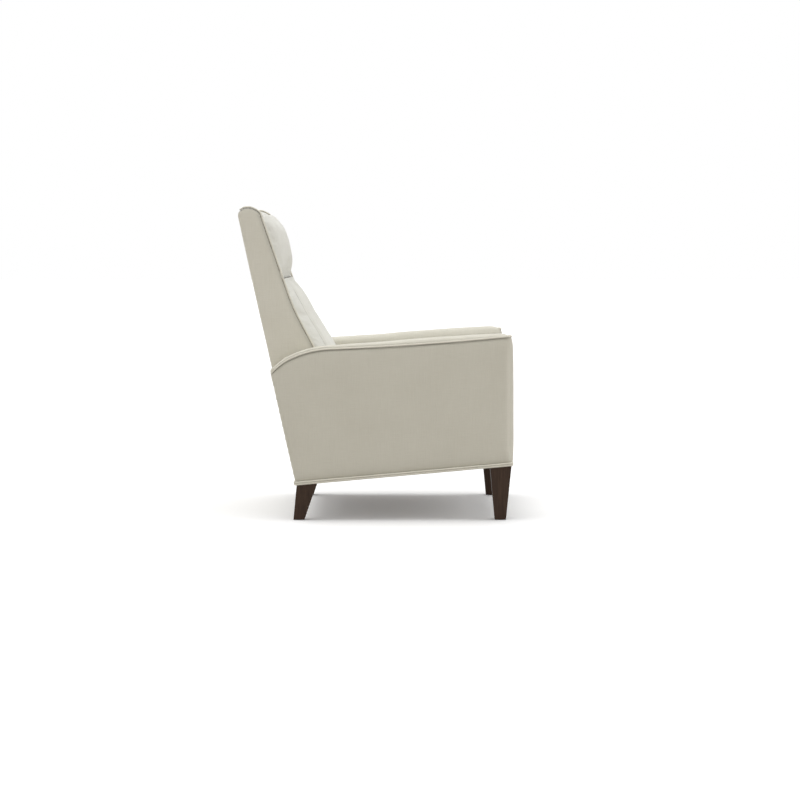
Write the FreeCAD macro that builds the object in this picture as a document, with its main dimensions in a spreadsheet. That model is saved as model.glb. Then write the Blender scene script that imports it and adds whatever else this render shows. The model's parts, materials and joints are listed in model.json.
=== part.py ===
import FreeCAD, Part
import math
import os
import Sketcher
from FreeCAD import Placement, Rotation, Vector

os.makedirs("parts", exist_ok=True)
doc = FreeCAD.newDocument("Recliner")

# Driving dimensions in millimetres and degrees. X points the way the sitter
# faces, Y to the sitter's left, Z up. Every size along Y is half of the chair.
SIZES = {
    # Arms: a padded cover over a timber frame, welted along the top and the bottom.
    "arm_outer": 375,
    "arm_width": 95,
    "arm_front": 456,
    "arm_front_setback": 3.5,
    "arm_padding": 17,
    "crown_rise": 12,
    "crown_fall": 6,
    "inner_rounding": 26,
    "front_rounding": 13,
    "frame_gap": 1,
    "welt_radius": 3,
    "welt_gap": 0.2,
    "frame_wall": 12.4,
    "arm_drop": 40,
    "frame_top_rail": 42,
    "leg_block_length": 90,
    # Side outline: the raked rear line, the rising lower edge and the arm top.
    "rear_at_floor": -236.2,
    "rear_rake": 0.2195,
    "lower_edge_rear": 118.5,
    "lower_edge_slope": 0.0904,
    "arm_top_rear": 499,
    "arm_top_shoulder": 573,
    "arm_shoulder_x": -150,
    "arm_shoulder_bulge": 17.07,
    "arm_top_middle": 589,
    "arm_top_front": 614,
    # Legs.
    "leg_foot": 37,
    "front_leg_top": 71,
    "rear_leg_top": 66,
    "leg_top_across": 60,
    "leg_inset": 42,
    "leg_spare": 12,
    "front_leg_x": 419,
    "rear_leg_foot_x": -254,
    "rear_leg_top_x": -227.5,
    "glide_radius": 10,
    "glide_height": 2,
    "bolt_radius": 4,
    "bolt_reach": 45,
    "screw_grip": 10,
    "hole_clearance": 0.1,
    # Rails and the rear panel between the arms.
    "rail_gap": 0.3,
    "rail_thickness": 30,
    "middle_rail_x": 45,
    "middle_rail_low": 158,
    "middle_rail_height": 30,
    "rear_panel_thickness": 28,
    "rear_panel_top": 334,
    "rear_rail_low": 141,
    "rear_rail_height": 55,
    # Steel layers of the mechanism, counted inward from the arm.
    "steel": 3,
    "layer_gap": 1,
    "base_gap": 0.2,
    "link_half_width": 12,
    "pin_radius": 4.95,
    "pin_hole": 5,
    "open_hole": 5.4,
    "pin_end": 0.7,
    "collar_radius": 8,
    # Swing linkage that carries the seat forward and back, level.
    "base_low": 195,
    "base_high": 235,
    "base_pivot_z": 215,
    "rear_base_pivot_x": -100,
    "pivot_spacing": 350,
    "swing_length": 90,
    "swing_lean": 30,
    "cross_tube_radius": 8,
    "cross_tube_reach": 30,
    # Back hinge on the seat plates, its guide slot and its drive link.
    "hinge_x": -215,
    "hinge_z": 310,
    "guide_radius": 17.5,
    "guide_angle": 76.4,
    "recline_angle": 28,
    "drive_pivot_x": -170.2,
    "drive_pivot_z": 267.1,
    # Seat plates, frame, springs and cushion.
    "plate_low": 277,
    "plate_top": 365,
    "plate_step": 8,
    "shelf_drop": 5,
    "angle_shelf": 15,
    "angle_drop": 13,
    "angle_front_gap": 82,
    "seat_frame_gap": 2.8,
    "seat_frame_rear": -118,
    "seat_frame_front": 412,
    "seat_rail": 45,
    "seat_frame_height": 34,
    "spring_wire": 2,
    "spring_count": 5,
    "spring_wave": 18,
    "clip_size": 12,
    "cushion_side_gap": 6,
    "cushion_rear": -112,
    "cushion_front": 445,
    "cushion_edge_height": 64,
    "cushion_draw_in": 22,
    "cushion_corner": 48,
    "cushion_crown": 13,
    "cushion_lip": 21,
    "cushion_lip_rear": 414,
    "soft_gap": 0.3,
    # Footrest linkage.
    "leg_link_pivot_x": 372,
    "leg_link_pivot_z": 345,
    "leg_link_length": 225,
    "leg_link_rest": 209,
    "carrier_angle": -3.4,
    "carrier_length": 225,
    "carrier_tail": 60,
    "control_ear": 14,
    "control_ear_angle": -104.4,
    "control_pivot_reach": 36.4,
    "control_pivot_angle": 135,
    "control_half_width": 9,
    "control_hole": 6.2,
    "torque_tube_radius": 8,
    "board_rear": 426,
    "board_thickness": 12,
    "board_side_gap": 2,
    "board_low": 192,
    "board_high": 376,
    "bracket_reach": 28,
    "pad_thickness": 16,
    "pad_side_gap": 4,
    "pad_draw_in": 6,
    # Back: frame, cover, cushions and welts.
    "back_side_gap": 4,
    "back_wall": 8,
    "back_opening": 20,
    "back_low": 350,
    "back_top": 1041,
    "back_post": 18,
    "back_post_setback": 6,
    "back_rail_height": 60,
    "back_rail_thickness": 22,
    "middle_back_rail_z": 640,
    "back_front_slope": 0.345,
    "back_knee_x": -276,
    "back_knee_z": 703,
    "back_knee_radius": 700,
    "back_front_low_x": -166,
    "back_front_low_z": 495,
    "back_toe_x": -180,
    "back_rear_rounding": 14,
    "back_arch": 12,
    "back_frame_drop": 28,
    "back_front_rounding": 14,
    "back_cushion_gap": 7,
    "pillow_depth": 41.5,
    "pillow_overlap": 4,
    "lumbar_depth": 59,
    "lumbar_lift": 6,
    "seam_y": 190,
    "seam_dip": 0.55,
    "notch_z": 806,
}

sheet = doc.addObject("Spreadsheet::Sheet", "Sizes")
# The finished pieces by node name.
KEPT = {}


class Size:
    """A number together with the sheet expression that it comes from."""

    def __init__(self, number, text):
        self.number = float(number)
        self.text = text

    def __add__(self, other):
        other = as_size(other)
        return Size(self.number + other.number, f"({self.text} + {other.text})")

    def __sub__(self, other):
        other = as_size(other)
        return Size(self.number - other.number, f"({self.text} - {other.text})")

    def __mul__(self, other):
        other = as_size(other)
        return Size(self.number * other.number, f"({self.text} * {other.text})")

    def __truediv__(self, other):
        other = as_size(other)
        return Size(self.number / other.number, f"({self.text} / {other.text})")

    def __radd__(self, other):
        return as_size(other) + self

    def __rsub__(self, other):
        return as_size(other) - self

    def __rmul__(self, other):
        return as_size(other) * self

    def __neg__(self):
        return Size(-self.number, f"(-{self.text})")

    def __float__(self):
        return self.number


def as_size(value):
    """Turn a plain number into a Size and leave a Size alone."""
    if isinstance(value, Size):
        return value
    return Size(value, f"({float(value):.6f})")


class Sheet:
    """Each driving dimension as an attribute."""


size = Sheet()
for row, (alias, number) in enumerate(SIZES.items(), 1):
    sheet.set(f"A{row}", alias)
    sheet.set(f"B{row}", str(number))
    sheet.setAlias(f"B{row}", alias)
    setattr(size, alias, Size(number, f"Sizes.{alias}"))
doc.recompute()


def cosine(angle):
    angle = as_size(angle)
    return Size(math.cos(math.radians(angle.number)), f"cos({angle.text} * 1deg)")


def sine(angle):
    angle = as_size(angle)
    return Size(math.sin(math.radians(angle.number)), f"sin({angle.text} * 1deg)")


def distance(first, second):
    """Distance between two points of the XZ plane."""
    run = as_size(second[0] - first[0])
    rise = as_size(second[1] - first[1])
    return Size(math.hypot(run.number, rise.number), f"hypot({run.text}; {rise.text})")


def polar(start, reach, angle):
    """Point at a distance and direction from another, in the XZ plane."""
    return (start[0] + reach * cosine(angle), start[1] + reach * sine(angle))


def bind(item, path, value):
    """Tie a property to the sheet."""
    item.setExpression(path, as_size(value).text)


def place(item, x, y, z, rotation=Rotation()):
    """Set a piece's rotation and tie its position to the sheet."""
    item.Placement = Placement(Vector(float(x), float(y), float(z)), rotation)
    bind(item, "Placement.Base.x", x)
    bind(item, "Placement.Base.y", y)
    bind(item, "Placement.Base.z", z)


def block(label, x, y, z):
    """Rectangular block between pairs of limits."""
    item = doc.addObject("Part::Box", label)
    bind(item, "Length", x[1] - x[0])
    bind(item, "Width", y[1] - y[0])
    bind(item, "Height", z[1] - z[0])
    place(item, x[0], y[0], z[0])
    return item


def rod(label, radius, x, y, z):
    """Round rod along Y between two limits."""
    item = doc.addObject("Part::Cylinder", label)
    bind(item, "Radius", radius)
    bind(item, "Height", y[1] - y[0])
    place(item, x, y[0], z, Rotation(Vector(1, 0, 0), -90))
    return item


def post(label, radius, x, y, z):
    """Round rod along Z between two limits."""
    item = doc.addObject("Part::Cylinder", label)
    bind(item, "Radius", radius)
    bind(item, "Height", z[1] - z[0])
    place(item, x, y, z[0])
    return item


def joined(label, pieces):
    item = doc.addObject("Part::MultiFuse", label)
    item.Shapes = pieces
    return item


def grouped(label, pieces):
    item = doc.addObject("Part::Compound", label)
    item.Links = pieces
    return item


def without(label, base, tools):
    """A piece less one or more others."""
    tool = tools[0]
    if len(tools) > 1:
        tool = grouped(label + "_cuts", tools)
    item = doc.addObject("Part::Cut", label)
    item.Base = base
    item.Tool = tool
    return item


def twin(label, source):
    """The same piece on the sitter's right."""
    item = doc.addObject("Part::Mirroring", label)
    item.Source = source
    item.Normal = Vector(0, 1, 0)
    return item


def both_sides(name, source):
    """Keep a piece as the left one of a pair and its twin as the right one."""
    source.Label = f"left_{name}"
    KEPT[f"left_{name}"] = source
    KEPT[f"right_{name}"] = twin(f"right_{name}", source)


def with_twins(name, pieces):
    """Keep small equal pieces of both sides under one name."""
    pairs = list(pieces)
    for piece in pieces:
        pairs.append(twin(f"{piece.Label}_twin", piece))
    KEPT[name] = grouped(name, pairs)


def origin_plane(body, role):
    for feature in body.Origin.OriginFeatures:
        if feature.Role == role:
            return feature


def pin_point(sketch, name, geometry, end, point):
    """Fix a sketch point at two sheet values measured from the origin."""
    for kind, axis, value in (("DistanceX", "x", point[0]), ("DistanceY", "z", point[1])):
        index = sketch.addConstraint(
            Sketcher.Constraint(kind, -1, 1, geometry, end, float(value)))
        sketch.renameConstraint(index, f"{name}_{axis}")
        sketch.setExpression(f"Constraints.{name}_{axis}", as_size(value).text)


def flat(point):
    return Vector(float(point[0]), float(point[1]), 0)


def draw_outline(sketch, corners, arcs):
    """Closed outline through corners; arcs maps a corner to the middle of the arc after it."""
    ends = []
    for number, corner in enumerate(corners):
        after = corners[(number + 1) % len(corners)]
        if number in arcs:
            curve = Part.Arc(flat(corner), flat(arcs[number]), flat(after))
        else:
            curve = Part.LineSegment(flat(corner), flat(after))
        geometry = sketch.addGeometry(curve, False)
        first = 1
        if sketch.getPoint(geometry, 1).distanceToPoint(flat(corner)) > 0.01:
            first = 2
        ends.append((geometry, first, 3 - first))
    for number, (geometry, first, last) in enumerate(ends):
        follower = ends[(number + 1) % len(ends)]
        sketch.addConstraint(
            Sketcher.Constraint("Coincident", geometry, last, follower[0], follower[1]))
        pin_point(sketch, f"corner{number}", geometry, first, corners[number])
        if number in arcs:
            mark = sketch.addGeometry(Part.Point(flat(arcs[number])), True)
            pin_point(sketch, f"arc{number}", mark, 1, arcs[number])
            sketch.addConstraint(Sketcher.Constraint("PointOnObject", mark, 1, geometry))


def draw_hole(sketch, name, centre, radius):
    circle = sketch.addGeometry(Part.Circle(flat(centre), Vector(0, 0, 1), float(radius)), False)
    pin_point(sketch, name, circle, 3, centre)
    index = sketch.addConstraint(Sketcher.Constraint("Radius", circle, float(radius)))
    sketch.renameConstraint(index, f"{name}_radius")
    sketch.setExpression(f"Constraints.{name}_radius", as_size(radius).text)


def panel(label, corners, y, arcs=None, holes=()):
    """Plate with an outline drawn in the XZ plane and its thickness along Y."""
    body = doc.addObject("PartDesign::Body", label)
    sketch = body.newObject("Sketcher::SketchObject", label + "_outline")
    sketch.AttachmentSupport = [(origin_plane(body, "XZ_Plane"), "")]
    sketch.MapMode = "FlatFace"
    bind(sketch, "AttachmentOffset.Base.z", -as_size(y[0]))
    draw_outline(sketch, corners, arcs or {})
    for number, (centre, radius) in enumerate(holes):
        draw_hole(sketch, f"hole{number}", centre, radius)
    pad = body.newObject("PartDesign::Pad", label + "_pad")
    pad.Profile = sketch
    pad.Reversed = True
    bind(pad, "Length", y[1] - y[0])
    return body


def link(label, start, length, angle, y, half_width, holes):
    """Round-ended bar from a pivot, with holes at distances along it."""
    corners = [(0, -half_width), (length, -half_width), (length, half_width), (0, half_width)]
    arcs = {1: (length + half_width, 0), 3: (-half_width, 0)}
    spots = [((reach, 0), radius) for reach, radius in holes]
    body = panel(label, corners, (as_size(0), y[1] - y[0]), arcs, spots)
    turn = Rotation(Vector(0, 1, 0), -float(angle))
    place(body, start[0], y[0], start[1], turn)
    return body


def round_edges(body, chosen, radius):
    """Round the edges of a body that pass a test."""
    doc.recompute()
    tip = body.Tip
    edges = []
    for number, edge in enumerate(tip.Shape.Edges, 1):
        if chosen(edge):
            edges.append(f"Edge{number}")
    fillet = body.newObject("PartDesign::Fillet", f"{body.Name}_rounding")
    fillet.Base = (tip, edges)
    bind(fillet, "Radius", radius)
    body.Tip = fillet
    doc.recompute()


def along_y_at(edge, point):
    """Whether an edge runs along Y through a point of the side outline."""
    box = edge.BoundBox
    near = abs(box.XMin - float(point[0])) < 0.01 and abs(box.ZMin - float(point[1])) < 0.01
    return near and box.XLength < 0.01 and box.ZLength < 0.01


def solid_piece(label, shape):
    """A piece whose shape comes from a formula."""
    item = doc.addObject("Part::Feature", label)
    item.Shape = shape
    return item


def rounded_wire(points, radii):
    """Path of straight runs joined by tangent arcs at its inner points."""
    edges = []
    last = points[0]
    for before, corner, after, radius in zip(points, points[1:], points[2:], radii):
        inward = (before - corner).normalize()
        outward = (after - corner).normalize()
        half_turn = (math.pi - inward.getAngle(outward)) / 2
        reach = radius * math.tan(half_turn)
        begin = corner + inward * reach
        finish = corner + outward * reach
        bisector = (inward + outward).normalize()
        middle = corner + bisector * (radius / math.cos(half_turn) - radius)
        if last.distanceToPoint(begin) > 0.01:
            edges.append(Part.LineSegment(last, begin).toShape())
        edges.append(Part.Arc(begin, middle, finish).toShape())
        last = finish
    edges.append(Part.LineSegment(last, points[-1]).toShape())
    return Part.Wire(edges)


def tube_shape(wire, radius):
    """Round tube along a path."""
    first = wire.OrderedEdges[0]
    start = first.valueAt(first.FirstParameter)
    along = first.tangentAt(first.FirstParameter)
    if wire.OrderedEdges[0].Orientation == "Reversed":
        start = first.valueAt(first.LastParameter)
        along = -first.tangentAt(first.LastParameter)
    ring = Part.Wire([Part.Circle(start, along, radius).toShape()])
    return wire.makePipeShell([ring], True, False)


# Outlines seen from the side
def rear_x(z):
    """The raked rear line."""
    return size.rear_at_floor - size.rear_rake * z


LOWER_REAR_X = rear_x(size.lower_edge_rear)


def lower_z(x):
    """The lower edge, which rises toward the front."""
    return size.lower_edge_rear + (x - LOWER_REAR_X) * size.lower_edge_slope


def arm_top_arcs(lift, front_x, rear_shift):
    """Corners and arc middles of the arm's top, from front to rear, at a height over the welt."""
    shoulder = (size.arm_shoulder_x, size.arm_top_shoulder + lift)
    middle = ((size.arm_shoulder_x + front_x) * 0.5, size.arm_top_middle + lift)
    front = (front_x, size.arm_top_front + lift)
    rear_z = size.arm_top_rear + lift
    rear = (rear_x(rear_z) + rear_shift, rear_z)
    run = shoulder[0] - rear[0]
    rise = shoulder[1] - rear[1]
    chord = distance(rear, shoulder)
    bend = ((shoulder[0] + rear[0]) * 0.5 - size.arm_shoulder_bulge * rise / chord,
            (shoulder[1] + rear[1]) * 0.5 + size.arm_shoulder_bulge * run / chord)
    return front, middle, shoulder, bend, rear


COVER_OUTER = size.arm_outer - size.welt_radius * 2 - size.welt_gap
ARM_INNER = size.arm_outer - size.arm_width
LEG_Y = size.arm_outer - size.leg_inset
BACK_HALF = ARM_INNER - size.back_side_gap


def arm_outline(inset):
    """Side outline of the arm, drawn in on its top, front and rear."""
    front_x = size.arm_front - size.arm_front_setback - inset
    front, middle, shoulder, bend, rear = arm_top_arcs(size.crown_rise - inset, front_x, inset)
    front = (front[0], front[1] - size.crown_fall)
    low_front_x = size.arm_front - 1 - inset
    corners = [(low_front_x, lower_z(low_front_x)), front, shoulder, rear,
               (LOWER_REAR_X + inset, lower_z(LOWER_REAR_X + inset))]
    low_front_z = lower_z(low_front_x)
    fullest_z = low_front_z + (size.arm_top_front - low_front_z) * 0.4
    arcs = {0: (size.arm_front - inset, fullest_z), 1: middle, 2: bend}
    return corners, arcs


# Limits that tell the cover's long top edges and tall front edges from its other edges.
TOP_BAND = 60
LONG_EDGE = 50
TALL_EDGE = 200
FRONT_BAND = 40


def make_arm_cover():
    """Padded cover, open below, with a crowned top."""
    corners, arcs = arm_outline(as_size(0))
    body = panel("left_arm_padding", corners, (ARM_INNER, COVER_OUTER), arcs)
    doc.recompute()
    low = float(size.arm_top_rear) - TOP_BAND

    def top_edge(edge, y):
        box = edge.BoundBox
        return box.YLength < 0.01 and abs(box.YMin - float(y)) < 0.01 and \
            box.ZMin > low and box.XLength > LONG_EDGE

    def front_edge(edge):
        box = edge.BoundBox
        return box.ZLength > TALL_EDGE and box.XMin > float(size.arm_front) - FRONT_BAND

    round_edges(body, lambda edge: top_edge(edge, COVER_OUTER), size.crown_rise)
    round_edges(body, lambda edge: top_edge(edge, ARM_INNER), size.inner_rounding)
    round_edges(body, front_edge, size.front_rounding)
    corners, arcs = arm_outline(size.arm_padding)
    corners[0] = (corners[0][0], corners[0][1] - size.arm_drop)
    corners[4] = (corners[4][0], corners[4][1] - size.arm_drop)
    walls = (ARM_INNER + size.arm_padding, COVER_OUTER - size.arm_padding)
    cavity = panel("left_arm_cavity", corners, walls, arcs)
    return body, cavity, walls


def make_arms():
    body, cavity, walls = make_arm_cover()
    inside = (walls[0] + size.frame_gap, walls[1] - size.frame_gap)
    corners, arcs = arm_outline(size.arm_padding + size.frame_gap)
    timber = panel("left_arm_timber", corners, inside, arcs)
    hollow_y = (inside[0] + size.frame_wall, inside[1] - size.frame_wall)
    hollow_x = (corners[4][0] + size.leg_block_length, corners[0][0] - size.leg_block_length)
    top = size.arm_top_rear - size.frame_top_rail
    low = size.lower_edge_rear - size.arm_drop
    hollow = block("left_arm_hollow", hollow_x, hollow_y, (low, top))
    bolt_hole = size.bolt_radius + size.hole_clearance
    bolts, holes, legs, leg_holes, glides = [], [], [], [], []
    places = (("front", size.front_leg_x, size.front_leg_x, size.front_leg_top),
              ("rear", size.rear_leg_foot_x, size.rear_leg_top_x, size.rear_leg_top))
    for name, foot_x, top_x, top_length in places:
        joint_z = lower_z(top_x)
        reach = (joint_z - size.bolt_reach, joint_z + size.bolt_reach)
        holes.append(post(f"{name}_bolt_bore", bolt_hole, top_x, LEG_Y,
                          (reach[0], reach[1] + size.hole_clearance)))
        bolts.append(post(f"{name}_bolt", size.bolt_radius, top_x, LEG_Y, reach))
        leg = make_leg(name, foot_x, top_x, top_length, joint_z)
        bore = post(f"{name}_leg_bore", bolt_hole, top_x, LEG_Y,
                    (reach[0] - size.hole_clearance, reach[1]))
        legs.append(without(f"{name}_left_leg", leg, [bore]))
        glides.append(post(f"{name}_glide", size.glide_radius, foot_x, LEG_Y,
                           (as_size(0), size.glide_height)))
    screw_z = (size.base_low + size.base_high) * 0.5
    screw_bores, screw_rods = [], []
    head = ARM_INNER - size.base_gap - size.steel
    tip = inside[0] + size.screw_grip
    for number in range(3):
        x = size.rear_base_pivot_x + size.pivot_spacing * (0.1 + 0.4 * number)
        screw_bores.append(rod(f"screw_bore_{number}", bolt_hole, x, (head - 1, tip + 1), screw_z))
        screw_rods.append(rod(f"screw_{number}", size.bolt_radius, x, (head, tip), screw_z))
    cover = without("left_arm_cover", body, [cavity] + screw_bores)
    frame = without("left_arm_frame", timber, [hollow] + holes + screw_bores)
    for name, source in (("arm_cover", cover), ("arm_frame", frame),
                         ("front_leg", legs[0]), ("rear_leg", legs[1])):
        both_sides(name, source)
    with_twins("leg_glides", glides)
    with_twins("leg_bolts", bolts)
    with_twins("base_plate_screws", screw_rods)
    return screw_bores


def make_leg(name, foot_x, top_x, top_length, joint_z):
    """Tapered square leg whose top is cut to the rising lower edge."""
    body = doc.addObject("PartDesign::Body", f"{name}_leg_taper")
    sketches = []
    high = joint_z + size.leg_spare
    grown = (high - size.glide_height) / (joint_z - size.glide_height)
    ends = ((size.glide_height, foot_x, size.leg_foot, size.leg_foot),
            (high, foot_x + (top_x - foot_x) * grown,
             size.leg_foot + (top_length - size.leg_foot) * grown,
             size.leg_foot + (size.leg_top_across - size.leg_foot) * grown))
    for number, (z, x, length, width) in enumerate(ends):
        sketch = body.newObject("Sketcher::SketchObject", f"{name}_leg_section_{number}")
        sketch.AttachmentSupport = [(origin_plane(body, "XY_Plane"), "")]
        sketch.MapMode = "FlatFace"
        bind(sketch, "AttachmentOffset.Base.z", z)
        near = LEG_Y - width * 0.5
        far = LEG_Y + width * 0.5
        left = x - length * 0.5
        right = x + length * 0.5
        draw_outline(sketch, [(left, near), (right, near), (right, far), (left, far)], {})
        sketches.append(sketch)
    loft = body.newObject("PartDesign::AdditiveLoft", f"{name}_leg_loft")
    loft.Profile = sketches[0]
    loft.Sections = [sketches[1]]
    loft.Ruled = True
    slope = math.degrees(math.atan(float(size.lower_edge_slope)))
    saw = doc.addObject("Part::Box", f"{name}_leg_saw")
    bind(saw, "Length", top_length * 4)
    bind(saw, "Width", top_length * 2)
    bind(saw, "Height", top_length)
    start_x = top_x - top_length * 2
    place(saw, start_x, LEG_Y - top_length, lower_z(start_x), Rotation(Vector(0, 1, 0), -slope))
    return without(f"{name}_leg_cut", body, [saw])


def raked_bar(label, low, high, offset, thickness, y):
    """Bar that leans with the rear line, at a distance ahead of it."""
    corners = [(rear_x(low) + offset, low), (rear_x(low) + offset + thickness, low),
               (rear_x(high) + offset + thickness, high), (rear_x(high) + offset, high)]
    return panel(label, corners, y)


def make_rails():
    """Cross rails and the padded rear panel between the arms."""
    reach = ARM_INNER - size.rail_gap
    across = (-reach, reach)
    KEPT["middle_rail"] = block(
        "middle_rail", (size.middle_rail_x, size.middle_rail_x + size.rail_thickness), across,
        (size.middle_rail_low, size.middle_rail_low + size.middle_rail_height))
    panel_low = size.lower_edge_rear + size.welt_radius * 2
    KEPT["rear_panel"] = raked_bar("rear_panel", panel_low, size.rear_panel_top, as_size(0),
                                   size.rear_panel_thickness, across)
    KEPT["rear_rail"] = raked_bar("rear_rail", size.rear_rail_low,
                                  size.rear_rail_low + size.rear_rail_height,
                                  size.rear_panel_thickness + size.rail_gap,
                                  size.rail_thickness, across)


def vector(x, y, z):
    return Vector(float(x), float(y), float(z))


def make_arm_welts():
    """Piping along the arm's top and twin piping along its lower edge, round the corners."""
    stand_off = size.welt_radius + size.welt_gap
    y = COVER_OUTER + stand_off
    radius = float(size.welt_radius)
    inner_y = ARM_INNER + stand_off
    turn = float(size.front_rounding + stand_off)
    front_x = size.arm_front - size.arm_front_setback + stand_off - turn
    front, middle, shoulder, bend, rear = arm_top_arcs(as_size(0), front_x, as_size(0))
    top = Part.Arc(vector(shoulder[0], y, shoulder[1]), vector(middle[0], y, middle[1]),
                   vector(front[0], y, front[1])).toShape()
    rise = Part.Arc(vector(rear[0], y, rear[1]), vector(bend[0], y, bend[1]),
                    vector(shoulder[0], y, shoulder[1])).toShape()
    onward = top.tangentAt(top.LastParameter)
    start = vector(front[0], y, front[1])
    corner = start + onward * turn
    wrap = rounded_wire([start, corner, corner + vector(0, inner_y - y, 0)], [turn * 0.999])
    path = Part.Wire([rise, top] + wrap.Edges)
    KEPT["left_arm_welt"] = solid_piece("left_arm_welt", tube_shape(path, radius))
    low_x = size.arm_front - 1 + stand_off
    tight = radius + float(size.welt_gap) / 2
    cords = []
    for name, lift in (("lower", stand_off), ("upper", stand_off * 3)):
        front_z = lower_z(low_x) + lift
        back_z = size.lower_edge_rear + lift
        back_x = rear_x(back_z) - stand_off * distance((0, 0), (1, size.rear_rake))
        path = rounded_wire(
            [vector(low_x, inner_y, front_z), vector(low_x, y, front_z),
             vector(back_x, y, back_z), vector(back_x, inner_y, back_z)], [turn, tight])
        cords.append(solid_piece(f"left_{name}_base_cord", tube_shape(path, radius)))
    with_twins("base_welts", cords)
    KEPT["right_arm_welt"] = twin("right_arm_welt", KEPT["left_arm_welt"])


def layer(number):
    """Limits along Y of a steel layer, counted inward from the arm."""
    outer = ARM_INNER - size.base_gap - (size.steel + size.layer_gap) * number
    return (outer - size.steel, outer)


def through(first, last):
    """Limits of a pin that passes from one layer in to another."""
    return (layer(last)[0] - size.pin_end, layer(first)[1] + size.pin_end)


BASE, SWING, SEAT, CONTROL, LEG_LINK, CARRIER, REAR_LINK = range(7)
SEAT_FRAME_HALF = layer(REAR_LINK)[0] - size.seat_frame_gap
BOARD_HALF = SEAT_FRAME_HALF - size.board_side_gap
REAR_BASE_PIVOT = (size.rear_base_pivot_x, size.base_pivot_z)
FRONT_BASE_PIVOT = (size.rear_base_pivot_x + size.pivot_spacing, size.base_pivot_z)
SWING_ANGLE = 90 + size.swing_lean
REAR_SEAT_PIVOT = polar(REAR_BASE_PIVOT, size.swing_length, SWING_ANGLE)
FRONT_SEAT_PIVOT = polar(FRONT_BASE_PIVOT, size.swing_length, SWING_ANGLE)
HINGE = (size.hinge_x, size.hinge_z)
GUIDE_PIN = polar(HINGE, size.guide_radius, size.guide_angle)
DRIVE_PIVOT = (size.drive_pivot_x, size.drive_pivot_z)
LEG_PIVOT = (size.leg_link_pivot_x, size.leg_link_pivot_z)
TUBE_PIVOT = polar(LEG_PIVOT, -size.carrier_tail, size.carrier_angle)
CARRIER_PIVOT = polar(LEG_PIVOT, size.leg_link_length, size.leg_link_rest)
TAIL_PIVOT = polar(CARRIER_PIVOT, -size.carrier_tail, size.carrier_angle)
BOARD_PIVOT = polar(CARRIER_PIVOT, size.carrier_length, size.carrier_angle)
EAR_PIVOT = polar(CARRIER_PIVOT, size.control_ear, size.leg_link_rest + size.control_ear_angle)
CONTROL_PIVOT = polar(BOARD_PIVOT, size.control_pivot_reach, size.control_pivot_angle)


def heading(first, last):
    """Direction in degrees from one point of the XZ plane to another."""
    rise = float(last[1]) - float(first[1])
    return math.degrees(math.atan2(rise, float(last[0]) - float(first[0])))


def make_base(screw_bores):
    """Steel plates on the arms and the swinging links on them."""
    margin = size.link_half_width + 4
    drive_top = size.drive_pivot_z + margin - 3
    corners = [(size.drive_pivot_x - margin, size.base_low),
               (FRONT_BASE_PIVOT[0] + margin + 10, size.base_low),
               (FRONT_BASE_PIVOT[0] + margin + 10, size.base_high),
               (REAR_BASE_PIVOT[0] + 5, size.base_high),
               (size.drive_pivot_x + margin, drive_top),
               (size.drive_pivot_x - margin, drive_top)]
    pivots = (REAR_BASE_PIVOT, FRONT_BASE_PIVOT, DRIVE_PIVOT)
    plate = panel("base_plate_blank", corners, layer(BASE),
                  holes=[(pivot, size.pin_hole) for pivot in pivots])
    both_sides("base_plate", without("left_base_plate", plate, screw_bores))
    pin_y = (layer(SWING)[0] - size.pin_end, layer(BASE)[1])
    pins = [rod(f"base_pin_{number}", size.pin_radius, pivot[0], pin_y, pivot[1])
            for number, pivot in enumerate(pivots)]
    with_twins("base_pivots", pins)
    angle = 90 + float(size.swing_lean)
    for name, pivot, hole in (("rear_swing_link", REAR_BASE_PIVOT, size.pin_hole),
                              ("front_swing_link", FRONT_BASE_PIVOT, size.open_hole)):
        both_sides(name, link(f"left_{name}", pivot, size.swing_length, angle, layer(SWING),
                              size.link_half_width,
                              [(as_size(0), size.pin_hole), (size.swing_length, hole)]))
    tube = polar(REAR_BASE_PIVOT, size.cross_tube_reach, SWING_ANGLE)
    KEPT["swing_cross_tube"] = rod("swing_cross_tube", size.cross_tube_radius, tube[0],
                                   (-layer(SWING)[0], layer(SWING)[0]), tube[1])
    length = distance(DRIVE_PIVOT, GUIDE_PIN)
    both_sides("back_drive_link",
               link("left_back_drive_link", DRIVE_PIVOT, length, heading(DRIVE_PIVOT, GUIDE_PIN),
                    layer(SWING), size.link_half_width,
                    [(as_size(0), size.pin_hole), (length, size.open_hole)]))


def guide_slot():
    """Arc slot round the hinge that the back's guide pin travels in."""
    half = size.open_hole
    start = size.guide_angle
    end = size.guide_angle + size.recline_angle
    middle = size.guide_angle + size.recline_angle * 0.5
    inner = size.guide_radius - half
    outer = size.guide_radius + half
    corners = [polar(HINGE, inner, start), polar(HINGE, outer, start),
               polar(HINGE, outer, end), polar(HINGE, inner, end)]
    last_pin = polar(HINGE, size.guide_radius, end)
    arcs = {0: polar(GUIDE_PIN, half, start - 90), 1: polar(HINGE, outer, middle),
            2: polar(last_pin, half, end + 90), 3: polar(HINGE, inner, middle)}
    limits = (layer(SEAT)[0] - 1, layer(SEAT)[1] + 1)
    return panel("guide_slot", corners, limits, arcs)


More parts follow.
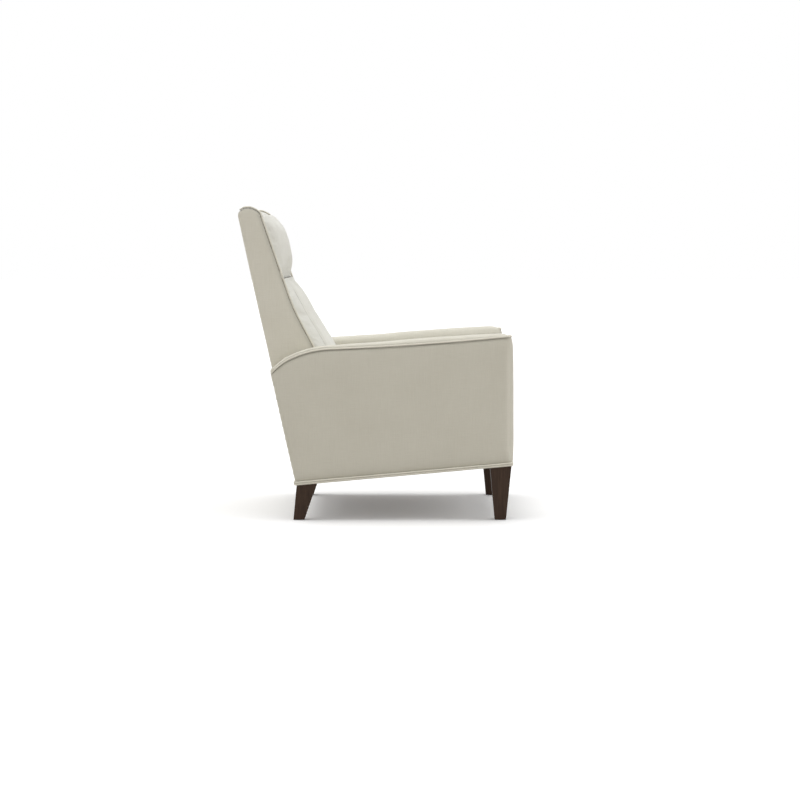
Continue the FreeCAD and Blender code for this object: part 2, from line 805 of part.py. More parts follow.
def make_seat_plates():
    """Steel side plates of the seat with their pins and the angles under the seat frame."""
    margin = size.link_half_width + 5
    shelf = size.back_low - size.shelf_drop
    nose_x = size.leg_link_pivot_x + margin
    corners = [(size.hinge_x - margin, size.hinge_z - margin + 5),
               (size.hinge_x - margin, size.hinge_z + margin),
               (size.hinge_x - 10, size.hinge_z + size.guide_radius + 9),
               (size.hinge_x + 20, shelf), (size.seat_frame_rear - size.plate_step, shelf),
               (size.seat_frame_rear + size.plate_step, size.plate_top), (nose_x, size.plate_top),
               (nose_x, size.leg_link_pivot_z - margin),
               (FRONT_SEAT_PIVOT[0] + 2 * margin, size.plate_low),
               (REAR_SEAT_PIVOT[0] - margin, size.plate_low)]
    pivots = (REAR_SEAT_PIVOT, FRONT_SEAT_PIVOT, HINGE, LEG_PIVOT, TUBE_PIVOT)
    plate = panel("seat_plate_blank", corners, layer(SEAT),
                  holes=[(pivot, size.pin_hole) for pivot in pivots])
    both_sides("seat_plate", without("left_seat_plate", plate, [guide_slot()]))
    inner = layer(SEAT)[0]
    angle_x = (size.seat_frame_rear + size.plate_step,
               size.leg_link_pivot_x - size.angle_front_gap)
    shelf_piece = block("seat_angle_shelf", angle_x, (SEAT_FRAME_HALF - size.angle_shelf, inner),
                        (size.plate_top - size.steel, size.plate_top))
    leg_piece = block("seat_angle_leg", angle_x, (inner - size.steel, inner),
                      (size.plate_top - size.angle_drop, size.plate_top - size.steel))
    both_sides("seat_angle", joined("left_seat_angle", [shelf_piece, leg_piece]))
    pins = []
    for number, pivot in enumerate((REAR_SEAT_PIVOT, FRONT_SEAT_PIVOT)):
        pins.append(rod(f"seat_pin_{number}", size.pin_radius, pivot[0], through(SWING, SEAT),
                        pivot[1]))
    hinge_y = (layer(CONTROL)[0], layer(SEAT)[1] + size.pin_end)
    pins.append(rod("hinge_pin", size.pin_radius, HINGE[0], hinge_y, HINGE[1]))
    leg_pin = rod("leg_pin", size.pin_radius, LEG_PIVOT[0], through(SEAT, LEG_LINK), LEG_PIVOT[1])
    collar_y = (layer(CONTROL)[0] - size.base_gap, layer(CONTROL)[1] + size.base_gap)
    collar = rod("leg_pin_collar", size.collar_radius, LEG_PIVOT[0], collar_y, LEG_PIVOT[1])
    pins.append(joined("leg_pin_with_collar", [leg_pin, collar]))
    with_twins("seat_pivots", pins)


def make_seat_frame():
    """Timber seat frame with sinuous springs held by clips."""
    low = size.plate_top + size.base_gap
    high = low + size.seat_frame_height
    half = SEAT_FRAME_HALF
    outer = block("seat_frame_outer", (size.seat_frame_rear, size.seat_frame_front),
                  (-half, half), (low, high))
    inner_x = (size.seat_frame_rear + size.seat_rail, size.seat_frame_front - size.seat_rail)
    well = block("seat_frame_well", inner_x, (-half + size.seat_rail, half - size.seat_rail),
                 (low - 1, high + 1))
    KEPT["seat_frame"] = without("seat_frame", outer, [well])
    wire = float(size.spring_wire)
    level = float(high) - wire
    wave = float(size.spring_wave)
    clip = float(size.clip_size)
    start = float(inner_x[0]) + clip * 0.3
    finish = float(inner_x[1]) - clip * 0.3
    step = 2 * wave * 0.6
    radius = step * 0.45
    lead = clip + radius
    clips = []
    springs = []
    count = int(size.spring_count.number)
    pitch = 2 * float(half - size.seat_rail) / count
    for number in range(count):
        middle = (number - (count - 1) / 2) * pitch
        side = 1 if middle <= 0 else -1
        x = start + lead
        points = [Vector(start, middle, level), Vector(x, middle, level)]
        while x + step < finish - lead:
            points.append(Vector(x, middle + side * wave, level))
            points.append(Vector(x + step, middle + side * wave, level))
            x += step
            side = -side
        points += [Vector(x, middle, level), Vector(finish, middle, level)]
        springs.append(tube_shape(rounded_wire(points, [radius] * (len(points) - 2)), wire))
        for place_name, clip_x in (("rear", inner_x[0]), ("front", inner_x[1] - size.clip_size)):
            holder = block(f"spring_clip_{place_name}_{number}",
                           (clip_x, clip_x + size.clip_size),
                           (middle - size.clip_size * 0.5, middle + size.clip_size * 0.5),
                           (level - size.clip_size * 0.5, level + size.spring_wire))
            bore = doc.addObject("Part::Cylinder", f"clip_bore_{place_name}_{number}")
            bind(bore, "Radius", size.spring_wire + size.hole_clearance)
            bind(bore, "Height", size.clip_size + 2)
            place(bore, clip_x - 1, as_size(middle), as_size(level), Rotation(Vector(0, 1, 0), 90))
            clips.append(without(f"spring_holder_{place_name}_{number}", holder, [bore]))
    KEPT["seat_springs"] = solid_piece("seat_springs", Part.makeCompound(springs))
    KEPT["spring_clips"] = grouped("spring_clips", clips)


def section_wire(points, arcs, y):
    """Closed section in the XZ plane at one Y."""
    edges = []
    for number, point in enumerate(points):
        after = points[(number + 1) % len(points)]
        begin = vector(point[0], y, point[1])
        finish = vector(after[0], y, after[1])
        if number in arcs:
            middle = vector(arcs[number][0], y, arcs[number][1])
            edges.append(Part.Arc(begin, middle, finish).toShape())
        else:
            edges.append(Part.LineSegment(begin, finish).toShape())
    return Part.Wire(edges)


def cushion(label, section, stations):
    """Closed soft solid through sections at several places along Y, mirrored about the middle."""
    wires = []
    for y, fullness in [(-y, f) for y, f in reversed(stations)] + list(stations):
        points, arcs = section(fullness)
        wires.append(section_wire(points, arcs, y))
    return solid_piece(label, Part.makeLoft(wires, True, True))


def seat_section(fullness):
    """Side section of the seat cushion with its front lip, drawn in by less fullness."""
    draw_in = (1 - fullness) * size.cushion_draw_in
    corner = size.cushion_corner
    low = size.plate_top + size.base_gap + size.seat_frame_height + size.soft_gap
    edge = low + size.cushion_edge_height - draw_in
    crown = edge + size.cushion_crown * fullness
    rear = size.cushion_rear + draw_in
    front = size.cushion_front - draw_in
    lip = size.cushion_lip_rear
    lip_low = low - size.cushion_lip + draw_in
    points = [(rear, low + draw_in * 0.5), (lip, low + draw_in * 0.5), (lip, lip_low),
              (front - corner * 0.17, lip_low), (front - corner * 0.25, edge - corner * 0.3),
              (front - corner, edge + corner * 0.04), (rear + corner * 0.6, edge),
              (rear, edge - corner * 0.55)]
    arcs = {3: (front, (lip_low + edge) * 0.5 - corner * 0.12),
            4: (front - corner * 0.52, edge - corner * 0.06),
            5: ((rear + front) * 0.5, crown), 6: (rear + corner * 0.17, edge - corner * 0.17)}
    return points, arcs


def make_seat_cushion():
    half = (ARM_INNER - size.cushion_side_gap)
    stations = [(half * 0.35, 1), (half * 0.7, 0.94), (half - 26, 0.78), (half - 8, 0.45),
                (half, 0)]
    KEPT["seat_cushion"] = cushion("seat_cushion", seat_section, stations)


# Side outline of the back: sharp corners, rounded afterwards, under an arched top.
COVER_TOP = size.back_top - size.welt_radius * 2 - size.welt_gap
TOE = (size.back_toe_x, size.back_low)
LOW_FRONT = (size.back_front_low_x, size.back_front_low_z)
KNEE = (size.back_knee_x, size.back_knee_z)
ARCH_FOOT = COVER_TOP - size.back_arch
TOP_FRONT = (KNEE[0] - (ARCH_FOOT - KNEE[1]) * size.back_front_slope, ARCH_FOOT)
TOP_REAR = (rear_x(ARCH_FOOT), ARCH_FOOT)
HEEL = (rear_x(size.back_low), size.back_low)


def make_back_cover():
    """Padded tub over the back frame, open toward the cushions and below."""
    corners = [HEEL, TOE, LOW_FRONT, KNEE, TOP_FRONT, TOP_REAR]
    arch = {4: ((TOP_FRONT[0] + TOP_REAR[0]) * 0.5, COVER_TOP)}
    body = panel("back_padding", corners, (-BACK_HALF, BACK_HALF), arch)
    for corner, radius in ((KNEE, size.back_knee_radius), (TOP_FRONT, size.back_front_rounding),
                           (TOP_REAR, size.back_rear_rounding)):
        round_edges(body, lambda edge: along_y_at(edge, corner), radius)
    wall = size.back_wall
    side = layer(CONTROL)[1] + size.base_gap
    below = size.back_low - size.back_opening
    top = ARCH_FOOT - wall
    shoulder = top - size.back_rear_rounding
    inside = [(rear_x(below) + wall, below), (as_size(0), below), (as_size(0), top),
              (rear_x(shoulder) + wall + size.back_rear_rounding * 0.75, top),
              (rear_x(shoulder) + wall, shoulder)]
    cavity = panel("back_cavity", inside, (-side, side))
    KEPT["back_cover"] = without("back_cover", body, [cavity])


def make_back_frame():
    """Timber posts and rails inside the back, with the steel brackets of the hinge."""
    gap = size.frame_gap
    setback = size.back_post_setback
    outer = layer(CONTROL)[0] - size.base_gap
    low = size.back_low + 2
    top = ARCH_FOOT - size.back_frame_drop
    behind = size.back_wall + gap
    front_top = KNEE[0] - (top - KNEE[1]) * size.back_front_slope - setback
    corners = [(rear_x(low) + behind, low), (TOE[0] - setback, low),
               (LOW_FRONT[0] - setback, LOW_FRONT[1]), (KNEE[0] - setback, KNEE[1]),
               (front_top, top), (rear_x(top) + behind, top)]
    sides = []
    for name, limits in (("left", (outer - size.back_post, outer)),
                         ("right", (-outer, size.back_post - outer))):
        sides.append(panel(f"back_post_{name}", corners, limits))
    span = (size.back_post - outer, outer - size.back_post)
    height = size.back_rail_height
    middle = size.middle_back_rail_z
    for name, rail_low in (("bottom", low), ("middle", middle), ("top", top - height)):
        sides.append(raked_bar(f"back_rail_{name}", rail_low, rail_low + height, behind,
                               size.back_rail_thickness, span))
    KEPT["back_frame"] = joined("back_frame", sides)
    margin = size.link_half_width + 5
    high = LOW_FRONT[1] - 20
    bracket = [(HINGE[0] - margin, HINGE[1] - margin * 0.4), (HINGE[0] - margin * 0.4, HINGE[1] - margin),
               (HINGE[0] + margin * 0.6, HINGE[1] - margin), (HINGE[0] + margin, HINGE[1]),
               (HINGE[0] + margin + 6, size.back_low), (HINGE[0] + margin + 6, high),
               (HINGE[0] - margin * 2, high), (HINGE[0] - margin * 2, size.back_low)]
    limits = (layer(CONTROL)[0], layer(CONTROL)[1])
    plate = panel("back_bracket_plate", bracket, limits,
                  holes=[(HINGE, size.pin_hole), (GUIDE_PIN, size.pin_hole)])
    both_sides("back_bracket", plate)
    guide_y = (layer(CONTROL)[0], layer(SWING)[1] + size.pin_end)
    with_twins("back_guide_pins",
               [rod("guide_pin", size.pin_radius, GUIDE_PIN[0], guide_y, GUIDE_PIN[1])])


def front_line_x(z):
    """Front line of the back's sides at a height."""
    z = float(z)
    stops = [TOE, LOW_FRONT, KNEE, TOP_FRONT]
    for low, high in zip(stops, stops[1:]):
        if z <= float(high[1]):
            break
    share = (z - float(low[1])) / (float(high[1]) - float(low[1]))
    return float(low[0]) + (float(high[0]) - float(low[0])) * share


def puffed(heights, projections, fullness):
    """Points ahead of the front line, from top to bottom."""
    rest = float(size.soft_gap)
    return [(front_line_x(z) + rest + 1 + reach * fullness, z)
            for z, reach in zip(heights, projections)]


def knee_reach():
    """How far the rounding of the knee reaches up and down the front line."""
    turn = heading(KNEE, TOP_FRONT) - heading(LOW_FRONT, KNEE)
    return float(size.back_knee_radius) * abs(math.tan(math.radians(turn) / 2))


def padded_section(heights, projections, fullness):
    """Section with arcs through every second point in front and the front line behind."""
    rest = float(size.soft_gap)
    front = puffed(heights, projections, fullness)
    points = [front[0]]
    arcs = {}
    for number in range(1, len(front) - 1, 2):
        arcs[len(points) - 1] = front[number]
        points.append(front[number + 1])
    low, high = heights[-1], heights[0]
    knee_z = float(KNEE[1])
    low_front_z = float(LOW_FRONT[1])
    behind = [z for z in (low_front_z, knee_z - knee_reach(), knee_z + knee_reach())
              if low + 1 < z < high - 1]
    for z in [low] + behind + [high]:
        points.append((front_line_x(z) + rest, z))
    return points, arcs


def lumbar_section(fullness):
    """Lumbar cushion: full below the notch, drawn in again toward the seat."""
    high = float(size.notch_z) - float(size.welt_radius) / 2
    low = float(size.back_low + size.lumbar_lift)
    shares = [1, 0.974, 0.929, 0.83, 0.741, 0.642, 0.549, 0.451, 0.353, 0.241, 0.13, 0.05, 0]
    swell = [0.05, 0.23, 0.42, 0.69, 0.8, 0.87, 0.93, 1, 0.98, 0.76, 0.63, 0.5, 0.24]
    heights = [low + (high - low) * share for share in shares]
    return padded_section(heights, [float(size.lumbar_depth) * part for part in swell], fullness)


def pillow_section(fullness):
    """Head pillow: rolled over the top and undercut at the notch."""
    low = float(size.notch_z) + float(size.welt_radius) / 2
    high = float(ARCH_FOOT + size.pillow_overlap)
    shares = [1, 0.974, 0.892, 0.764, 0.627, 0.513, 0.422, 0.285, 0.194, 0.121, 0.066, 0.021, 0]
    swell = [0.12, 0.52, 0.7, 0.96, 1, 0.97, 0.9, 0.74, 0.57, 0.38, 0.22, 0.1, 0.04]
    heights = [low + (high - low) * share for share in shares]
    return padded_section(heights, [float(size.pillow_depth) * part for part in swell], fullness)


def make_back_cushions():
    """Head pillow and lumbar cushion, the lower one with two sewn seams."""
    half = (BACK_HALF - size.back_cushion_gap)
    dip = 1 - size.seam_dip
    seam = size.seam_y
    lumbar = [(seam * 0.35, 1), (seam * 0.75, 0.95), (seam - 12, 0.78), (seam, float(dip)),
              (seam + 12, 0.62), (seam + 34, 0.68), (half - 22, 0.58), (half - 6, 0.36), (half, 0.12)]
    KEPT["lumbar_cushion"] = cushion("lumbar_cushion", lumbar_section, lumbar)
    pillow = [(half * 0.4, 1), (half * 0.75, 0.96), (half - 28, 0.8), (half - 10, 0.52),
              (half, 0.15)]
    KEPT["head_pillow"] = cushion("head_pillow", pillow_section, pillow)


def make_back_welts():
    """Piping up the front edge and over the arched top of each side."""
    reach = float(size.welt_radius + size.welt_gap)
    doc.recompute()
    side = max(KEPT["back_cover"].Shape.Faces, key=lambda face: face.CenterOfMass.y)
    kept = []
    for edge in side.OuterWire.makeOffset2D(reach).Edges:
        middle = edge.valueAt((edge.FirstParameter + edge.LastParameter) / 2)
        ahead = middle.x > float(rear_x(as_size(middle.z))) + 2 * reach
        if ahead and middle.z > float(LOW_FRONT[1]) + 2 * reach:
            kept.append(edge)
    path = Part.Wire(Part.__sortEdges__(kept))
    path.translate(Vector(0, -float(size.welt_radius), 0))
    both_sides("back_welt", solid_piece("left_back_welt", tube_shape(path, float(size.welt_radius))))


def make_footrest():
    """Folding links, torque tube, board and pad of the footrest."""
    half_width = size.link_half_width
    length = size.leg_link_length
    ear = size.control_ear
    ear_x = length + ear * cosine(size.control_ear_angle)
    ear_z = ear * sine(size.control_ear_angle)
    low = ear_z - half_width
    corners = [(as_size(0), -half_width), (ear_x - half_width - 8, -half_width),
               (ear_x - half_width + 2, low), (ear_x + half_width - 2, low),
               (length + half_width, -half_width * 0.6), (length + half_width, half_width * 0.6),
               (length + half_width * 0.6, half_width), (as_size(0), half_width)]
    holes = [((as_size(0), as_size(0)), size.pin_hole), ((length, as_size(0)), size.pin_hole),
             ((ear_x, ear_z), size.pin_hole)]
    limits = layer(LEG_LINK)
    blank = panel("leg_link_blank", corners, (as_size(0), limits[1] - limits[0]),
                  {7: (-half_width, as_size(0))}, holes)
    place(blank, LEG_PIVOT[0], limits[0], LEG_PIVOT[1],
          Rotation(Vector(0, 1, 0), -float(size.leg_link_rest)))
    both_sides("footrest_front_link", blank)
    both_sides("footrest_rear_link",
               link("left_footrest_rear_link", TUBE_PIVOT, length, float(size.leg_link_rest),
                    layer(REAR_LINK), half_width,
                    [(as_size(0), size.pin_hole), (length, size.open_hole)]))
    tail = size.carrier_tail
    both_sides("footrest_carrier",
               link("left_footrest_carrier", TAIL_PIVOT, tail + size.carrier_length,
                    float(size.carrier_angle), layer(CARRIER), half_width,
                    [(as_size(0), size.pin_hole), (tail, size.pin_hole),
                     (tail + size.carrier_length, size.pin_hole)]))
    reach = distance(EAR_PIVOT, CONTROL_PIVOT)
    both_sides("footrest_control_link",
               link("left_footrest_control_link", EAR_PIVOT, reach,
                    heading(EAR_PIVOT, CONTROL_PIVOT), layer(CONTROL), size.control_half_width,
                    [(as_size(0), size.pin_hole), (reach, size.pin_hole)]))
    tube_half = layer(REAR_LINK)[0]
    stub = rod("torque_tube_stub", size.pin_radius, TUBE_PIVOT[0],
               (tube_half, layer(SEAT)[1] + size.pin_end), TUBE_PIVOT[1])
    tube = rod("torque_tube_bar", size.torque_tube_radius, TUBE_PIVOT[0],
               (-tube_half, tube_half), TUBE_PIVOT[1])
    KEPT["footrest_torque_tube"] = joined(
        "footrest_torque_tube", [tube, stub, twin("torque_tube_stub_twin", stub)])
    with_twins("carrier_pins",
               [rod("carrier_pin", size.pin_radius, CARRIER_PIVOT[0], through(LEG_LINK, CARRIER),
                    CARRIER_PIVOT[1]),
                rod("tail_pin", size.pin_radius, TAIL_PIVOT[0], through(CARRIER, REAR_LINK),
                    TAIL_PIVOT[1]),
                rod("board_pin", size.pin_radius, BOARD_PIVOT[0], through(LEG_LINK, CARRIER),
                    BOARD_PIVOT[1])])
    with_twins("control_pins",
               [rod("ear_pin", size.pin_radius, EAR_PIVOT[0], through(CONTROL, LEG_LINK),
                    EAR_PIVOT[1]),
                rod("control_pin", size.pin_radius, CONTROL_PIVOT[0], through(CONTROL, LEG_LINK),
                    CONTROL_PIVOT[1])])
    make_footrest_board()


def make_footrest_board():
    """Board with its padding and the steel brackets that carry it."""
    margin = size.link_half_width
    flange_x = (size.board_rear - size.steel, size.board_rear)
    top = size.board_high - 36
    corners = [(BOARD_PIVOT[0] - margin, BOARD_PIVOT[1] - margin * 0.6),
               (BOARD_PIVOT[0] - margin * 0.5, BOARD_PIVOT[1] - margin),
               (BOARD_PIVOT[0] + margin * 0.8, BOARD_PIVOT[1] - margin),
               (flange_x[1], BOARD_PIVOT[1] + margin * 0.4), (flange_x[1], top),
               (flange_x[0] - 6, top), (flange_x[0] - 14, CONTROL_PIVOT[1] + margin),
               (CONTROL_PIVOT[0] + margin * 0.3, CONTROL_PIVOT[1] + margin),
               (CONTROL_PIVOT[0] - margin, CONTROL_PIVOT[1] + margin * 0.5),
               (CONTROL_PIVOT[0] - margin, CONTROL_PIVOT[1] - margin * 0.5)]
    web = panel("bracket_web", corners, layer(LEG_LINK),
                holes=[(BOARD_PIVOT, size.pin_hole), (CONTROL_PIVOT, size.control_hole)])
    flange = block("bracket_flange", flange_x, (BOARD_HALF - size.bracket_reach, layer(LEG_LINK)[1]),
                   (BOARD_PIVOT[1] + margin, top))
    both_sides("footrest_bracket", joined("left_footrest_bracket", [web, flange]))
    board_x = (size.board_rear + size.base_gap, size.board_rear + size.board_thickness)
    KEPT["footrest_board"] = block("footrest_board", board_x, (-BOARD_HALF, BOARD_HALF),
                                   (size.board_low, size.board_high))
    rear = board_x[1] + size.base_gap
    front = rear + size.pad_thickness
    half = (ARM_INNER - size.pad_side_gap)
    low, high = size.board_low - 2, size.board_high - 2

    def section(fullness):
        draw_in = (1 - fullness) * size.pad_draw_in
        bulge = front - draw_in
        points = [(rear, low + draw_in), (bulge - size.pad_draw_in, low + draw_in),
                  (bulge - size.pad_draw_in, high - draw_in), (rear, high - draw_in)]
        return points, {1: (bulge, (low + high) * 0.5)}

    stations = [(half * 0.5, 1), (half - 20, 0.8), (half - 5, 0.4), (half, 0)]
    KEPT["footrest_pad"] = cushion("footrest_pad", section, stations)


def write_parts():
    """Check every object and write one file for each finished piece."""
    doc.recompute()
    for item in doc.Objects:
        if "Invalid" in item.State or "Error" in item.State:
            raise RuntimeError(f"{item.Name} failed: {item.State}")
    for name, item in KEPT.items():
        item.Label = name
        shape = item.Shape
        if shape.isNull() or not shape.isValid() or not shape.Solids:
            raise RuntimeError(f"{name} has no valid solid")
        shape.exportStep(f"parts/{name}.step")
    print(len(KEPT), "pieces")


bores = make_arms()
make_rails()
make_arm_welts()
make_base(bores)
make_seat_plates()
make_seat_frame()
make_seat_cushion()
make_back_cover()
make_back_frame()
make_back_cushions()
make_back_welts()
make_footrest()
write_parts()
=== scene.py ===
import json
import math

import bmesh
import bpy
import numpy as np
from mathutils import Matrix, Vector, noise
from mathutils.bvhtree import BVHTree


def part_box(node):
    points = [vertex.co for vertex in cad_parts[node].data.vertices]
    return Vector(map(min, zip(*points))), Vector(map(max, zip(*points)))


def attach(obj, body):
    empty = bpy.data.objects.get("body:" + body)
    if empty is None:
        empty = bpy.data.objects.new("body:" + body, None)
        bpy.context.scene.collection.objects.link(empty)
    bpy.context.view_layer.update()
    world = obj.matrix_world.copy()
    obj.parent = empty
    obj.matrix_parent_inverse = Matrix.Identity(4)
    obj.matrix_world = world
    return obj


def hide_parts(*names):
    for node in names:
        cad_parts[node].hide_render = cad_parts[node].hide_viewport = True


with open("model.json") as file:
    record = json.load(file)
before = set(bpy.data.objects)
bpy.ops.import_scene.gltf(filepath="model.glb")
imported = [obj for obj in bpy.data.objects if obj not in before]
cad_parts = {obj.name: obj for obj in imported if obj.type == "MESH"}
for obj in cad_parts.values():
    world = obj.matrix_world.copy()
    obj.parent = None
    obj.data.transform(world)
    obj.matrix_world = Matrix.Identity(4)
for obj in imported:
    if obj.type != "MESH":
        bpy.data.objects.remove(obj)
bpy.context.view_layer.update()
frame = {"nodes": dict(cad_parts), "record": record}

SIDES = ("left", "right")
SIGN = {"left": 1.0, "right": -1.0}
scene = bpy.context.scene

# Linen: colours, the thread's width in metres, how dark the painted shade at seams makes it, and the
# slubs' scales
LINEN_LIGHT = (0.860, 0.832, 0.748)
LINEN_DARK = (0.735, 0.703, 0.615)
THREAD = 0.0012
PAINTED_SHADE_DEPTH = 0.55
SLUB_LONG = 22.0
SLUB_FINE = 620.0
CREASE_SCALE = 26.0
CLOUD_SCALE = 7.0

# Wood: scales of its waves, grain and pores along X, Y and Z
WOOD_WAVE = (3.0, 3.0, 1.2)
WOOD_GRAIN = (156.0, 156.0, 5.0)
WOOD_PORES = (900.0, 900.0, 30.0)
LOW_GLOSS = 0.18


# Shader graphs
class Graph:
    """Node tree of one material, with short calls for its common nodes."""

    def __init__(self, name):
        self.material = bpy.data.materials.new(name)
        self.material.use_nodes = True
        self.tree = self.material.node_tree
        self.tree.nodes.clear()

    def node(self, kind, **settings):
        item = self.tree.nodes.new(kind)
        for key, value in settings.items():
            setattr(item, key, value)
        return item

    def feed(self, item, socket, value):
        if value is None:
            return
        if isinstance(value, bpy.types.NodeSocket):
            self.tree.links.new(value, item.inputs[socket])
        else:
            item.inputs[socket].default_value = value

    def math(self, operation, first, second=None, third=None):
        item = self.node("ShaderNodeMath", operation=operation)
        for number, value in enumerate((first, second, third)):
            self.feed(item, number, value)
        return item.outputs[0]

    def scaled(self, vector, amounts):
        item = self.node("ShaderNodeVectorMath", operation="MULTIPLY")
        self.feed(item, 0, vector)
        self.feed(item, 1, amounts)
        return item.outputs[0]

    def joined(self, x, y, z):
        item = self.node("ShaderNodeCombineXYZ")
        for number, value in enumerate((x, y, z)):
            self.feed(item, number, value)
        return item.outputs[0]

    def parts(self, vector):
        item = self.node("ShaderNodeSeparateXYZ")
        self.feed(item, 0, vector)
        return item.outputs

    def noise(self, vector, scale, detail=2.0, roughness=0.5):
        item = self.node("ShaderNodeTexNoise")
        self.feed(item, "Vector", vector)
        self.feed(item, "Scale", scale)
        self.feed(item, "Detail", detail)
        self.feed(item, "Roughness", roughness)
        return item.outputs["Fac"]

    def ramp(self, factor, stops):
        item = self.node("ShaderNodeValToRGB")
        self.feed(item, "Fac", factor)
        ramp = item.color_ramp
        while len(ramp.elements) < len(stops):
            ramp.elements.new(0.5)
        for element, (place, colour) in zip(ramp.elements, stops):
            element.position = place
            element.color = (*colour, 1)
        return item.outputs["Color"]

    def bump(self, height, distance, strength=1.0, normal=None):
        item = self.node("ShaderNodeBump")
        self.feed(item, "Height", height)
        self.feed(item, "Distance", distance)
        self.feed(item, "Strength", strength)
        self.feed(item, "Normal", normal)
        return item.outputs["Normal"]

    def surface(self, settings):
        shader = self.node("ShaderNodeBsdfPrincipled")
        for key, value in settings.items():
            self.feed(shader, key, value)
        output = self.node("ShaderNodeOutputMaterial")
        self.tree.links.new(shader.outputs[0], output.inputs[0])
        return self.material


def cloth_plane(graph, bias):
    """Coordinates in metres along the cloth's two threads, from the way each face looks."""
    coords = graph.node("ShaderNodeTexCoord")
    x, y, z = graph.parts(coords.outputs["Object"])
    nx, ny, nz = [graph.math("ABSOLUTE", part) for part in graph.parts(coords.outputs["Normal"])]
    level = graph.math("GREATER_THAN", nz, graph.math("MAXIMUM", nx, ny))
    facing = graph.math("MULTIPLY", graph.math("GREATER_THAN", nx, ny),
                        graph.math("SUBTRACT", 1.0, level))
    u = graph.math("ADD", graph.math("MULTIPLY", x, graph.math("SUBTRACT", 1.0, facing)),
                   graph.math("MULTIPLY", y, facing))
    v = graph.math("ADD", graph.math("MULTIPLY", z, graph.math("SUBTRACT", 1.0, level)),
                   graph.math("MULTIPLY", y, level))
    if bias:
        turned = graph.math("ADD", u, v)
        v = graph.math("SUBTRACT", u, v)
        u = turned
    return coords.outputs["Object"], u, v


def linen(name, tone, bias=False):
    """Plain weave of natural linen with slubs, soft creases and a little sheen, darkened by painted
    shade at seams and under pipings.
    """
    graph = Graph(name)
    light = tuple(np.multiply(LINEN_LIGHT, tone))
    dark = tuple(np.multiply(LINEN_DARK, tone))
    place, u, v = cloth_plane(graph, bias)
    wander = graph.noise(place, 180.0, 1.0)
    drift = graph.math("MULTIPLY", wander, THREAD * 0.7)
    turns = math.pi / THREAD
    warp = graph.math("SINE", graph.math("MULTIPLY", graph.math("ADD", u, drift), turns))
    weft = graph.math("SINE", graph.math("MULTIPLY", graph.math("ADD", v, drift), turns))
    over = graph.math("MULTIPLY_ADD", graph.math("MULTIPLY", warp, weft), 0.5, 0.5)
    rise = graph.math("MULTIPLY", graph.math("ABSOLUTE", warp), over)
    fall = graph.math("MULTIPLY", graph.math("ABSOLUTE", weft), graph.math("SUBTRACT", 1.0, over))
    weave = graph.math("ADD", rise, fall)
    across = graph.noise(graph.joined(graph.math("MULTIPLY", u, SLUB_LONG),
                                      graph.math("MULTIPLY", v, SLUB_FINE), 0.0), 1.0, 2.0)
    along = graph.noise(graph.joined(graph.math("MULTIPLY", u, SLUB_FINE),
                                     graph.math("MULTIPLY", v, SLUB_LONG), 3.7), 1.0, 2.0)
    slubs = graph.math("MULTIPLY", graph.math("ADD", across, along), 0.5)
    cloudy = graph.noise(place, CLOUD_SCALE, 3.0, 0.55)
    mixed = graph.math("MULTIPLY_ADD", slubs, 0.62, graph.math("MULTIPLY", cloudy, 0.26))
    mixed = graph.math("MULTIPLY_ADD", weave, 0.22, mixed)
    cloth = graph.ramp(mixed, [(0.30, dark), (0.78, light)])
    # Painted shade: the cloth is darkened by the shade value each piece stores at its seams and under
    # its pipings.
    painted_shade = graph.node("ShaderNodeAttribute", attribute_name="painted_shade").outputs["Fac"]
    shade = graph.math("MULTIPLY_ADD", painted_shade, -PAINTED_SHADE_DEPTH, 1.0)
    colour = graph.scaled(cloth, graph.joined(shade, shade, shade))
    crease = graph.noise(place, CREASE_SCALE, 3.0, 0.5)
    soft = graph.bump(crease, 0.0022, 0.55)
    thread = graph.math("MULTIPLY_ADD", slubs, 0.8, weave)
    fine = graph.bump(thread, 0.0004, 0.6, soft)
    rough = graph.math("MULTIPLY_ADD", weave, -0.12, 0.97)
    return graph.surface({"Base Color": colour, "Roughness": rough, "Normal": fine,
                          "Sheen Weight": 0.22, "Sheen Roughness": 0.45,
                          "Specular IOR Level": LOW_GLOSS})


def wood(name, dark, light, coat, roughness):
    """Straight grain along Z with pores, under a satin finish."""
    graph = Graph(name)
    place = graph.node("ShaderNodeTexCoord").outputs["Object"]
    wave = graph.noise(graph.scaled(place, WOOD_WAVE), 1.0, 2.0)
    bent = graph.node("ShaderNodeVectorMath", operation="ADD")
    graph.feed(bent, 0, place)
    graph.feed(bent, 1, graph.joined(graph.math("MULTIPLY", wave, 0.02), 0.0, 0.0))
    grain = graph.noise(graph.scaled(bent.outputs[0], WOOD_GRAIN), 1.0, 4.0, 0.6)
    pores = graph.noise(graph.scaled(bent.outputs[0], WOOD_PORES), 1.0, 2.0)
    tone = graph.math("MULTIPLY_ADD", grain, 0.75, graph.math("MULTIPLY", pores, 0.25))
    colour = graph.ramp(tone, [(0.32, dark), (0.70, light)])
    rough = graph.math("MULTIPLY_ADD", pores, 0.18, roughness - 0.09)
    normal = graph.bump(tone, 0.0005, 0.35)
    return graph.surface({"Base Color": colour, "Roughness": rough, "Normal": normal,
                          "Coat Weight": coat, "Coat Roughness": 0.28,
                          "Specular IOR Level": LOW_GLOSS})


def coated_steel(name, dark, light, roughness, metallic, grain):
    """Painted or plated steel with a fine skin and worn patches."""
    graph = Graph(name)
    place = graph.node("ShaderNodeTexCoord").outputs["Object"]
    skin = graph.noise(graph.scaled(place, grain), 1.0, 3.0, 0.6)
    patch = graph.noise(place, 18.0, 3.0)
    tone = graph.math("MULTIPLY_ADD", skin, 0.5, graph.math("MULTIPLY", patch, 0.5))
    colour = graph.ramp(tone, [(0.35, dark), (0.68, light)])
    rough = graph.math("MULTIPLY_ADD", patch, 0.2, roughness - 0.1)
    normal = graph.bump(skin, 0.0003, 0.4)
    return graph.surface({"Base Color": colour, "Roughness": rough, "Metallic": metallic,
                          "Normal": normal})
